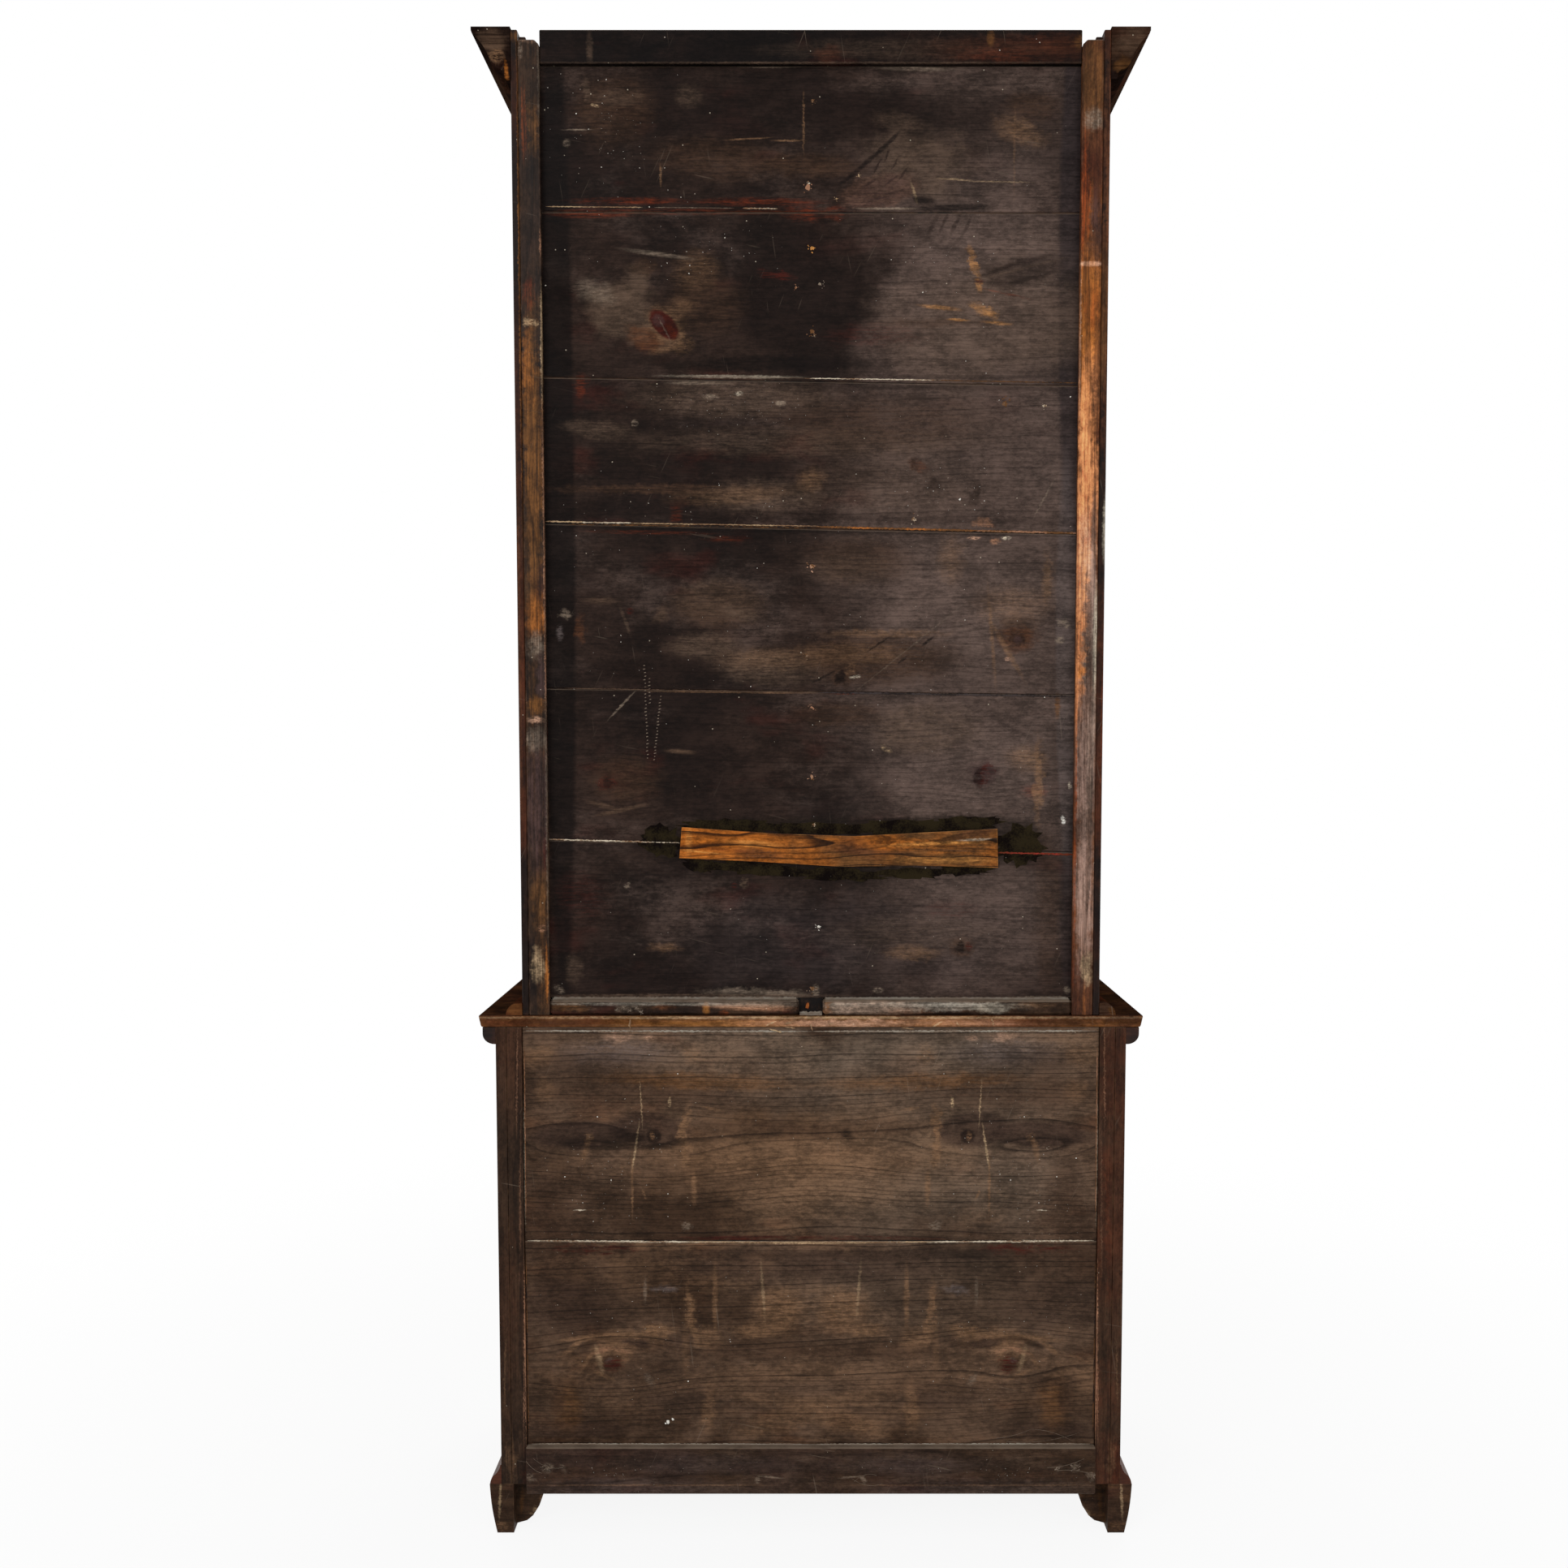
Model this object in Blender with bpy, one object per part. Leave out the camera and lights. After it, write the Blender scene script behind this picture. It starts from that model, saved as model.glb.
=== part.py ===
"""A tall two-part cupboard, board by board: a glazed upper case on a lower case with a drawer and two doors.

Metres, +Z up. The front faces -Y, the boarded back faces +Y, and left is -X as seen from the front.
"""

import math

import bmesh
import bpy
from mathutils import Vector

# Whole cupboard
TOTAL_HEIGHT = 2.250
WORKTOP_LEVEL = 0.806
SEAT = 0.0003
CUT_OVERRUN = 0.010
BOARD_EASE = 0.0012
HOUSING_DEPTH = 0.006
ARC_STEPS = 8
SHARP_ANGLE = 40

# Lower case
LOWER_WIDTH = 0.952
LOWER_DEPTH = 0.450
LOWER_SIDE = 0.022
LOWER_BOARD = 0.018
LOWER_BOTTOM_THICKNESS = 0.022
DRAWER_DIVIDER_LEVEL = 0.626
FRONT_RAIL_DEPTH = 0.045
FRONT_RAIL_HEIGHT = 0.0255

# Rear corner post of a lower side, and the scored joint line beside it
SIDE_EDGE_WIDTH = 0.016
POST_WIDTH = 0.023
POST_DEPTH = 0.022
JOINT_LINE_WIDTH = 0.0012
JOINT_LINE_DEPTH = 0.0016

# Lower back
LOWER_BACK_RECESS = 0.004
LOWER_BACK_THICKNESS = 0.014
LOWER_SEAM_LEVEL = 0.458
LOWER_SEAM_GAP = 0.0015
BACK_RAIL_BOTTOM = 0.065
BACK_RAIL_HEIGHT = 0.073
BACK_RAIL_PROUD = 0.008

# Worktop between the cases, and the ovolo moulding under it
WORKTOP_THICKNESS = 0.018
WORKTOP_OVERHANG = 0.026
WORKTOP_UNDERCUT = 0.004
WORKTOP_EASE = 0.0025
OVOLO_PROJECTION = 0.0195
OVOLO_HEIGHT = 0.0255
OVOLO_FILLET_SHARE = 0.40
OVOLO_TOE_SHARE = 0.08

# Feet and base moulding
FOOT_HEIGHT = 0.077
FOOT_TOP_OUT = 0.0185
FOOT_FLOOR_OUT = 0.0075
FOOT_BULGE = 0.0020
FOOT_WALL = 0.018
FOOT_LEG = 0.135
FOOT_TOE = 0.082
BRACKET_LIP = 0.017
BRACKET_HEEL = 0.010
BASE_MOULDING_HEIGHT = 0.031
BASE_MOULDING_PROJECTION = 0.018
BASE_MOULDING_SHARES = (((0.97, 0.12), (0.62, 0.46), 0.10), ((0.62, 0.46), (0.10, 0.97), -0.10))

# Plain rear bracket of a rear foot, as shares of its reach and of the foot height
REAR_BRACKET_REACH = 0.046
REAR_BRACKET_THICKNESS = 0.022
REAR_BRACKET_SETBACK = 0.0225
REAR_BRACKET_OVERLAP = 0.006
REAR_BRACKET_SHARES = ((0.0, 0.05), (0.36, 0.11), (0.56, 0.21), (0.78, 0.42), (0.92, 0.66), (1.0, 1.0))

# Drawer
DRAWER_CLEARANCE = 0.0015
DRAWER_RUN = 0.0005
DRAWER_FRONT_THICKNESS = 0.020
DRAWER_SIDE = 0.011
DRAWER_BOTTOM = 0.007
DRAWER_BOTTOM_LIFT = 0.009
DRAWER_LENGTH = 0.385
DRAWER_TOP_DROP = 0.010
DRAWER_BACK_DROP = 0.012
DRAWER_KNOB_SHARE = 0.52

# Doors
DOOR_THICKNESS = 0.022
DOOR_HINGE_GAP = 0.0025
DOOR_MEETING_GAP = 0.0024
DOOR_END_GAP = 0.0025
LOWER_STILE = 0.062
LOWER_RAIL = 0.066
STICKING_WIDTH = 0.006
STICKING_DEPTH = 0.007
GROOVE_DEPTH = 0.009
GROOVE_WIDTH = 0.0066
PANEL_FIELD_MARGIN = 0.034
PANEL_FIELD_STEP = 0.0016
PANEL_SETBACK = 0.003
UPPER_STILE = 0.050
UPPER_TOP_RAIL = 0.052
UPPER_BOTTOM_RAIL = 0.070
GLAZING_BAR = 0.016
GLAZING_DEPTH = 0.013
GLASS_REBATE = 0.007
GLASS_THICKNESS = 0.003
PANE_COLUMNS = 2
PANE_ROWS = 4

# Butt hinges, and the turned knobs
HINGE_RADIUS = 0.0045
HINGE_LENGTH = 0.070
HINGE_LEAF = 0.0012
HINGE_LEAF_DEPTH = 0.018
HINGE_PLACE_SHARE = 0.13
HINGE_SIDES = 16
HINGE_FINIAL_SHARES = ((0.78, 0.35), (0.78, 0.75), (0.45, 1.2), (0.0, 1.45))
KNOB_REACH = 0.032
KNOB_RADIUS = 0.017
KNOB_SIDES = 28
KNOB_SHARES = ((0.72, 0.0), (0.74, 0.06), (0.58, 0.14), (0.42, 0.26), (0.44, 0.36), (0.80, 0.50),
               (0.98, 0.62), (1.0, 0.72), (0.92, 0.84), (0.66, 0.95), (0.34, 0.99), (0.0, 1.0))
LOWER_KNOB_LEVEL_SHARE = 0.62
UPPER_KNOB_LEVEL_SHARE = 0.40

# Upper case
UPPER_WIDTH = 0.870
UPPER_DEPTH = 0.310
UPPER_SIDE = 0.018
UPPER_BOARD = 0.018
UPPER_BACK_RECESS = 0.012
UPPER_BACK_THICKNESS = 0.012
BACK_REBATE_WIDTH = 0.008
BACK_STILE_WIDTH = 0.031
BACK_STILE_DROP = 0.018
BACK_STILE_CHAMFER = 0.007
SIDE_TOP_DROP = 0.004
BACK_TOP_RAIL_HEIGHT = 0.0475
BACK_TOP_RAIL_DROP = 0.003
BACK_TOP_RAIL_SETBACK = 0.003
BACK_TOP_RAIL_THICKNESS = 0.021
CLEAT_HEIGHT = 0.024
CLEAT_MIDDLE_GAP = 0.036
CLEAT_EASE = 0.004
TOP_BOARD_DROP = 0.042
FRIEZE_HEIGHT = 0.096
FRIEZE_THICKNESS = 0.022
SHELF_COUNT = 3
SHELF_SETBACK = 0.012
SHELF_EASE = 0.003

# Upper back boards from the bottom: height share, gap above, and slant share of the seam above,
# which is lower at the left than at the right
UPPER_BOARD_SHARES = (0.169, 0.169, 0.177, 0.156, 0.178, 0.151)
UPPER_SEAM_GAPS = (0.0012, 0.0010, 0.0028, 0.0014, 0.0018, 0.0)
UPPER_SEAM_SLANT = 0.020
UPPER_SEAM_SLANT_SHARES = (1.0, 0.50, 0.83, 0.66, 0.09, 0.0)

# Quarter round at the waist, on the worktop
WAIST_PROJECTION = 0.025
WAIST_HEIGHT = 0.018
WAIST_LAND_SHARE = 0.30

# Cornice, whose profile is arcs between points: (out share, height share) twice, then the bow
CORNICE_HEIGHT = 0.073
CORNICE_PROJECTION = 0.057
CORNICE_TIP_SHARES = ((1.0, 1.0), (1.0, 0.93))
CORNICE_FOOT_SHARES = ((0.15, 0.0),)
CORNICE_SHARES = (((0.97, 0.87), (0.54, 0.40), -0.07), ((0.54, 0.40), (0.28, 0.19), 0.16),
                  ((0.28, 0.19), (0.165, 0.03), -0.16))

# Repair strip across the lowest back seam, as shares of its length and height
STRIP_LENGTH = 0.479
STRIP_HEIGHT = 0.061
STRIP_THICKNESS = 0.005
STRIP_OFFSET = 0.042
STRIP_LEVEL = 1.0595
STRIP_SHARES = ((0.0, 0.24), (0.25, 0.15), (0.50, 0.03), (0.75, 0.05), (1.0, 0.0), (0.997, 0.96),
                (0.80, 0.88), (0.55, 0.78), (0.30, 0.84), (0.008, 1.0))

# Colour, roughness and metallic of each finish
FINISHES = {
    "dark_softwood": ((0.024, 0.017, 0.014), 0.62, 0.0),
    "brown_softwood": ((0.055, 0.038, 0.026), 0.66, 0.0),
    "stained_post": ((0.040, 0.022, 0.014), 0.45, 0.0),
    "polished_pine": ((0.155, 0.060, 0.018), 0.34, 0.0),
    "walnut": ((0.085, 0.036, 0.016), 0.36, 0.0),
    "walnut_moulding": ((0.070, 0.030, 0.014), 0.38, 0.0),
    "golden_strip": ((0.400, 0.155, 0.021), 0.50, 0.0),
    "drawer_lining": ((0.230, 0.135, 0.065), 0.68, 0.0),
    "old_brass": ((0.420, 0.270, 0.090), 0.38, 1.0),
    "ebonised_knob": ((0.022, 0.014, 0.010), 0.28, 0.0),
    "window_glass": ((0.800, 0.860, 0.830), 0.06, 0.0),
}

# Planes that everything shares, with the whole part centred front to back
DEPTH_OVERALL = BACK_RAIL_PROUD + LOWER_DEPTH + SEAT + KNOB_REACH
BACK = DEPTH_OVERALL / 2 - BACK_RAIL_PROUD
LOWER_FRONT = BACK - LOWER_DEPTH
UPPER_FRONT = BACK - UPPER_DEPTH
LOWER_INNER = LOWER_WIDTH / 2 - LOWER_SIDE
UPPER_INNER = UPPER_WIDTH / 2 - UPPER_SIDE
WORKTOP_BOTTOM = WORKTOP_LEVEL - WORKTOP_THICKNESS
POST_INNER = LOWER_WIDTH / 2 - SIDE_EDGE_WIDTH - POST_WIDTH
POST_FRONT = BACK - POST_DEPTH
LOWER_FLOOR = FOOT_HEIGHT + BASE_MOULDING_HEIGHT
BACK_RAIL_TOP = BACK_RAIL_BOTTOM + BACK_RAIL_HEIGHT
DIVIDER_BOTTOM = DRAWER_DIVIDER_LEVEL - LOWER_BOARD
DRAWER_CEILING = WORKTOP_BOTTOM - SEAT - FRONT_RAIL_HEIGHT
REBATE_INNER = UPPER_INNER + BACK_REBATE_WIDTH
UPPER_BACK_FACE = BACK - UPPER_BACK_RECESS
UPPER_BACK_FRONT = UPPER_BACK_FACE - UPPER_BACK_THICKNESS
UPPER_FLOOR = WORKTOP_LEVEL + SEAT + UPPER_BOARD
UPPER_TOP = TOTAL_HEIGHT - SIDE_TOP_DROP
FRIEZE_BOTTOM = UPPER_TOP - FRIEZE_HEIGHT
TOP_BOARD_TOP = TOTAL_HEIGHT - TOP_BOARD_DROP
TOP_BOARD_BOTTOM = TOP_BOARD_TOP - UPPER_BOARD
CLEAT_TOP = WORKTOP_LEVEL + SEAT + CLEAT_HEIGHT
BACK_TOP_RAIL_TOP = TOTAL_HEIGHT - BACK_TOP_RAIL_DROP
BACK_TOP_RAIL_BOTTOM = BACK_TOP_RAIL_TOP - BACK_TOP_RAIL_HEIGHT
STILE_INNER = REBATE_INNER - SEAT - BACK_STILE_WIDTH
SHELF_FRONT = UPPER_FRONT + DOOR_THICKNESS + SHELF_SETBACK
BEHIND_FRIEZE = UPPER_FRONT + FRIEZE_THICKNESS + SEAT
SIDES = (("left", -1), ("right", 1))


def clear_scene():
    """Removes whatever objects the file opened with."""
    for thing in list(bpy.data.objects):
        bpy.data.objects.remove(thing, do_unlink=True)


def finish_material(name):
    """The material of one finish, made the first time it is asked for."""
    if name in bpy.data.materials:
        return bpy.data.materials[name]
    colour, roughness, metallic = FINISHES[name]
    material = bpy.data.materials.new(name)
    material.use_nodes = True
    shader = material.node_tree.nodes["Principled BSDF"]
    shader.inputs["Base Color"].default_value = (*colour, 1.0)
    shader.inputs["Roughness"].default_value = roughness
    shader.inputs["Metallic"].default_value = metallic
    material.diffuse_color = (*colour, 1.0)
    return material


def add_object(name, shape, finish):
    """Turns a bmesh into a named object with its finish."""
    mesh = bpy.data.meshes.new(name)
    bmesh.ops.recalc_face_normals(shape, faces=shape.faces)
    shape.to_mesh(mesh)
    shape.free()
    mesh.materials.append(finish_material(finish))
    thing = bpy.data.objects.new(name, mesh)
    bpy.context.scene.collection.objects.link(thing)
    return thing


def loft(rings, shape=None):
    """Closes a bmesh, a new one unless given, through rings of equally many points, with flat end caps."""
    if shape is None:
        shape = bmesh.new()
    loops = [[shape.verts.new(point) for point in ring] for ring in rings]
    for near, far in zip(loops, loops[1:]):
        for index, vertex in enumerate(near):
            before = index - 1
            shape.faces.new((near[before], vertex, far[index], far[before]))
    shape.faces.new(loops[0])
    shape.faces.new(loops[-1])
    return shape


def extruded(outline, axis, start, end, shape=None):
    """A prism of an outline: (x, y) points along Z, (y, z) points along X, or (x, z) points along Y."""
    def placed(a, b, along):
        return {"X": (along, a, b), "Y": (a, along, b), "Z": (a, b, along)}[axis]

    return loft([[Vector(placed(a, b, along)) for a, b in outline] for along in (start, end)], shape)


def ease_edges(thing, width, segments=1):
    """Takes the sharpness off a piece's edges."""
    bevel = thing.modifiers.new("eased_edges", "BEVEL")
    bevel.width = width
    bevel.segments = segments
    bevel.limit_method = "ANGLE"
    bevel.use_clamp_overlap = True


def board(name, x, y, z, finish, ease=BOARD_EASE):
    """A plain board between two values along each axis, with eased edges."""
    outline = [(x[0], y[0]), (x[1], y[0]), (x[1], y[1]), (x[0], y[1])]
    thing = add_object(name, extruded(outline, "Z", *z), finish)
    ease_edges(thing, ease)
    return thing


def cut(thing, shape, name, operation="DIFFERENCE"):
    """Takes a bmesh away from an object with a hidden cutter."""
    cutter = add_object(name, shape, "walnut")
    cutter.hide_render = True
    cutter.display_type = "WIRE"
    boolean = thing.modifiers.new(name, "BOOLEAN")
    boolean.operation = operation
    boolean.object = cutter


def join(thing, shape, name):
    """Adds a bmesh to an object with a hidden helper."""
    cut(thing, shape, name, "UNION")


def bow(start, end, rise, steps=ARC_STEPS):
    """Points of a shallow arc from start to end, whose middle stands off the chord by rise shares of it."""
    start, end = Vector(start), Vector(end)
    chord = end - start
    normal = Vector((chord.y, -chord.x))
    points = []
    for step in range(steps + 1):
        share = step / steps
        points.append(start + chord * share + normal * (4 * rise * share * (1 - share)))
    return points


def quarter(centre, radii, start, end, steps=ARC_STEPS):
    """Points of an ellipse about a centre, between two angles in degrees."""
    angles = [math.radians(start + (end - start) * step / steps) for step in range(steps + 1)]
    return [Vector((centre[0] + radii[0] * math.cos(a), centre[1] + radii[1] * math.sin(a))) for a in angles]


def round_case_path(half_width, front):
    """Corners of a moulding that runs round a case's sides and front, each with its outward mitre."""
    return [((-half_width, BACK), (-1, 0)), ((-half_width, front), (-1, -1)),
            ((half_width, front), (1, -1)), ((half_width, BACK), (1, 0))]


def mitred(section, path):
    """A moulding: an (out, height) section carried along a path and mitred at its corners."""
    rings = []
    for (x, y), (out_x, out_y) in path:
        rings.append([Vector((x + out_x * out, y + out_y * out, height)) for out, height in section])
    return loft(rings)


def side_outline(side, points):
    """Plan points given outwards from the middle, placed on the left or the right."""
    return [(side * x, y) for x, y in points]


def make_lower_side(word, side):
    """A lower side with its rear corner post, marked off by a scored joint line."""
    outer = LOWER_WIDTH / 2
    joint = outer - SIDE_EDGE_WIDTH
    half_line = JOINT_LINE_WIDTH / 2
    outline = side_outline(side, [
        (outer, LOWER_FRONT), (LOWER_INNER, LOWER_FRONT), (LOWER_INNER, POST_FRONT),
        (POST_INNER, POST_FRONT), (POST_INNER, BACK), (joint - half_line, BACK),
        (joint, BACK - JOINT_LINE_DEPTH), (joint + half_line, BACK), (outer, BACK)])
    shape = extruded(outline, "Z", FOOT_HEIGHT + SEAT, WORKTOP_BOTTOM - SEAT)
    board_side = add_object(f"lower_side_{word}", shape, "walnut")
    bottom = (LOWER_FLOOR - LOWER_BOTTOM_THICKNESS, LOWER_FLOOR)
    runs = [(LOWER_FRONT - CUT_OVERRUN, z) for z in (bottom, (DIVIDER_BOTTOM, DRAWER_DIVIDER_LEVEL))]
    cut_housings(board_side, side, LOWER_INNER, runs, POST_FRONT - SEAT / 2)


def cut_housings(thing, side, inner, runs, back):
    """Cuts the grooves that hold board ends into a case side; each run is (front, (low, high))."""
    faces = (side * (inner - CUT_OVERRUN), side * (inner + HOUSING_DEPTH))
    shape = bmesh.new()
    for front, (low, high) in runs:
        section = [(front, low - SEAT), (back, low - SEAT), (back, high + SEAT), (front, high + SEAT)]
        extruded(section, "X", min(faces), max(faces), shape)
    cut(thing, shape, f"{thing.name}_housings")


def make_lower_boards():
    """Bottom, drawer divider and front rail of the lower case."""
    x = (SEAT - LOWER_INNER, LOWER_INNER - SEAT)
    housed = (SEAT - LOWER_INNER - HOUSING_DEPTH, LOWER_INNER + HOUSING_DEPTH - SEAT)
    y = (LOWER_FRONT, POST_FRONT - SEAT)
    board("lower_bottom_board", housed, y, (LOWER_FLOOR - LOWER_BOTTOM_THICKNESS, LOWER_FLOOR), "walnut")
    board("drawer_divider", housed, y, (DIVIDER_BOTTOM, DRAWER_DIVIDER_LEVEL), "walnut")
    rail_y = (LOWER_FRONT, LOWER_FRONT + FRONT_RAIL_DEPTH)
    board("lower_front_rail", x, rail_y, (DRAWER_CEILING, WORKTOP_BOTTOM - SEAT), "walnut")


def make_lower_back():
    """Two wide boards between the posts, above a thicker bottom rail that stands proud."""
    x = (SEAT - POST_INNER, POST_INNER - SEAT)
    face = BACK - LOWER_BACK_RECESS
    y = (face - LOWER_BACK_THICKNESS, face)
    half_seam = LOWER_SEAM_GAP / 2
    lower_z = (BACK_RAIL_TOP + SEAT, LOWER_SEAM_LEVEL - half_seam)
    upper_z = (LOWER_SEAM_LEVEL + half_seam, WORKTOP_BOTTOM - SEAT)
    board("lower_back_board_1", x, y, lower_z, "brown_softwood")
    board("lower_back_board_2", x, y, upper_z, "brown_softwood")
    rail_y = (POST_FRONT + SEAT, BACK + BACK_RAIL_PROUD)
    board("lower_back_rail", x, rail_y, (BACK_RAIL_BOTTOM, BACK_RAIL_TOP), "dark_softwood")


def make_worktop():
    """The board between the cases, undercut a little at its front and ends."""
    def ring(overhang, level):
        half = LOWER_WIDTH / 2 + overhang
        front = LOWER_FRONT - overhang
        corners = ((-half, BACK), (-half, front), (half, front), (half, BACK))
        return [Vector((x, y, level)) for x, y in corners]

    under = ring(WORKTOP_OVERHANG - WORKTOP_UNDERCUT, WORKTOP_BOTTOM)
    shape = loft([under, ring(WORKTOP_OVERHANG, WORKTOP_LEVEL)])
    ease_edges(add_object("worktop", shape, "walnut"), WORKTOP_EASE, 2)


def make_lower_mouldings():
    """The ovolo under the worktop and the cyma above the feet."""
    path = round_case_path(LOWER_WIDTH / 2, LOWER_FRONT)
    top = WORKTOP_BOTTOM - SEAT
    foot = top - OVOLO_HEIGHT
    fillet = top - OVOLO_HEIGHT * OVOLO_FILLET_SHARE
    toe = OVOLO_PROJECTION * OVOLO_TOE_SHARE
    section = [(SEAT, foot), (SEAT, top), (OVOLO_PROJECTION, top)]
    section += quarter((toe, fillet), (OVOLO_PROJECTION - toe, fillet - foot), 0, -90)
    add_object("worktop_moulding", mitred(section, path), "walnut_moulding")

    low = FOOT_HEIGHT + SEAT
    height = BASE_MOULDING_HEIGHT - SEAT
    section = [(SEAT, low + height), (SEAT, low), (BASE_MOULDING_PROJECTION, low)]
    for start, end, rise in BASE_MOULDING_SHARES:
        arc = bow(start, end, rise)
        section += [(out * BASE_MOULDING_PROJECTION, low + up * height) for out, up in arc]
    add_object("base_moulding", mitred(without_repeats(section), path), "walnut_moulding")


def without_repeats(points):
    """The points with any that repeats the one before it left out."""
    kept = []
    for point in points:
        if not kept or (Vector(point) - Vector(kept[-1])).length > SEAT:
            kept.append(tuple(point))
    return kept


def foot_section():
    """The (out, height) section of a bracket foot: a bowed outer face that leans in towards the floor."""
    lean = bow((FOOT_TOP_OUT, FOOT_HEIGHT), (FOOT_FLOOR_OUT, 0), 0)
    face = []
    for step, (out, height) in enumerate(lean):
        face.append((out + FOOT_BULGE * math.sin(math.pi * step / ARC_STEPS), height))
    return [(-FOOT_WALL, FOOT_HEIGHT), *face, (-FOOT_WALL, 0)]


def bracket_cut(corner, away, side_axis, across):
    """The hollow under a bracket leg that runs from a corner value towards away, cut through across."""
    toe = corner + away * FOOT_TOE
    end = corner + away * FOOT_LEG
    lip = FOOT_HEIGHT - BRACKET_LIP
    hollow = quarter((end, BRACKET_HEEL), (toe - end, lip - BRACKET_HEEL), 0, 90)
    outline = [(toe, -CUT_OVERRUN)] + [tuple(point) for point in hollow]
    outline += [(end + away * CUT_OVERRUN, lip), (end + away * CUT_OVERRUN, -CUT_OVERRUN)]
    return extruded(outline, side_axis, *across)


def make_front_foot(word, side):
    """A front foot: two bracket legs mitred at the corner."""
    x = side * LOWER_WIDTH / 2
    path = [((x, LOWER_FRONT + FOOT_LEG), (side, 0)), ((x, LOWER_FRONT), (side, -1)),
            ((x - side * FOOT_LEG, LOWER_FRONT), (0, -1))]
    name = f"front_foot_{word}"
    foot = add_object(name, mitred(foot_section(), path), "walnut_moulding")
    through = FOOT_TOP_OUT + FOOT_BULGE + CUT_OVERRUN
    inward = FOOT_WALL + CUT_OVERRUN
    side_across = (x - side * inward, x + side * through)
    front_across = (LOWER_FRONT - through, LOWER_FRONT + inward)
    cut(foot, bracket_cut(LOWER_FRONT, 1, "X", side_across), f"{name}_side_cutter")
    cut(foot, bracket_cut(x, -side, "Y", front_across), f"{name}_front_cutter")


def make_rear_foot(word, side):
    """A rear foot: a bracket leg along the side, and a plain bracket under the back."""
    x = side * LOWER_WIDTH / 2
    name = f"rear_foot_{word}"
    path = [((x, BACK), (side, 0)), ((x, BACK - FOOT_LEG), (side, 0))]
    foot = add_object(name, mitred(foot_section(), path), "walnut_moulding")
    across = (x - side * (FOOT_WALL + CUT_OVERRUN), x + side * (FOOT_TOP_OUT + FOOT_BULGE + CUT_OVERRUN))
    cut(foot, bracket_cut(BACK, -1, "X", across), f"{name}_side_cutter")
    inner = LOWER_WIDTH / 2 - FOOT_WALL
    outline = [(side * (inner + REAR_BRACKET_OVERLAP), FOOT_HEIGHT)]
    outline.append((side * (inner + REAR_BRACKET_OVERLAP), FOOT_HEIGHT * REAR_BRACKET_SHARES[0][1]))
    for reach, up in REAR_BRACKET_SHARES:
        outline.append((side * (inner - REAR_BRACKET_REACH * reach), FOOT_HEIGHT * up))
    face = BACK - REAR_BRACKET_SETBACK
    join(foot, extruded(outline, "Y", face - REAR_BRACKET_THICKNESS, face), f"{name}_rear_bracket")


def parent_to(anchor, things):
    """Hangs pieces on an empty that stands on their joint's axis, and leaves them where they are."""
    bpy.context.view_layer.update()
    for thing in things:
        thing.parent = anchor
        thing.matrix_parent_inverse = anchor.matrix_world.inverted()


def joint_empty(name, place):
    """An empty on a joint's axis."""
    anchor = bpy.data.objects.new(name, None)
    anchor.location = place
    bpy.context.scene.collection.objects.link(anchor)
    return anchor


def turned(profile, sides, placed):
    """A closed turned bmesh of (radius, along) points; a radius of zero makes one point on the axis."""
    shape = bmesh.new()
    rings = []
    for radius, along in profile:
        turns = [2 * math.pi * step / sides for step in range(sides if radius else 1)]
        spots = [(radius * math.cos(turn), radius * math.sin(turn)) for turn in turns]
        rings.append([shape.verts.new(placed(a, b, along)) for a, b in spots])
    for near, far in zip(rings, rings[1:]):
        for index in range(sides):
            following = (index + 1) % sides
            corners = (near[index % len(near)], near[following % len(near)],
                       far[following % len(far)], far[index % len(far)])
            shape.faces.new(list(dict.fromkeys(corners)))
    for ring in (rings[0], rings[-1]):
        if len(ring) > 1:
            shape.faces.new(ring)
    return shape


def smooth_round(thing):
    """Shades a round piece smooth and keeps its sharp turns."""
    thing.data.shade_smooth()
    thing.data.set_sharp_from_angle(angle=math.radians(SHARP_ANGLE))


def make_knob(name, x, front, z):
    """A turned knob that stands on a front face and points to -Y."""
    profile = [(KNOB_RADIUS * wide, KNOB_REACH * far) for wide, far in KNOB_SHARES]
    shape = turned(profile, KNOB_SIDES, lambda a, b, along: (x + a, front - SEAT - along, z + b))
    knob = add_object(name, shape, "ebonised_knob")
    smooth_round(knob)
    return knob


def make_hinge(name, side, inner, front, z):
    """A butt hinge: a barrel with end finials in front of the face, and the leaf on the case side."""
    x = side * (inner - SEAT - HINGE_LEAF / 2)
    y = front - SEAT - HINGE_RADIUS
    half = HINGE_LENGTH / 2
    upper_end = [(HINGE_RADIUS, half)]
    upper_end += [(HINGE_RADIUS * wide, half + HINGE_RADIUS * up) for wide, up in HINGE_FINIAL_SHARES]
    profile = [(radius, -up) for radius, up in reversed(upper_end)] + upper_end
    barrel = turned(profile, HINGE_SIDES, lambda a, b, up: (x + a, y + b, z + up))
    hinge = add_object(name, barrel, "old_brass")
    smooth_round(hinge)
    near, far = x - HINGE_LEAF / 2, x + HINGE_LEAF / 2
    leaf_end = front + HINGE_LEAF_DEPTH
    leaf = [(near, y), (far, y), (far, leaf_end), (near, leaf_end)]
    join(hinge, extruded(leaf, "Z", z - half, z + half), f"{name}_leaf")


def rectangle(x, z, y, grow=0.0):
    """Four corners of an upright rectangle at one depth, grown by a margin."""
    (left, right), (low, high) = x, z
    return [Vector((left - grow, y, low - grow)), Vector((right + grow, y, low - grow)),
            Vector((right + grow, y, high + grow)), Vector((left - grow, y, high + grow))]


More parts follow.
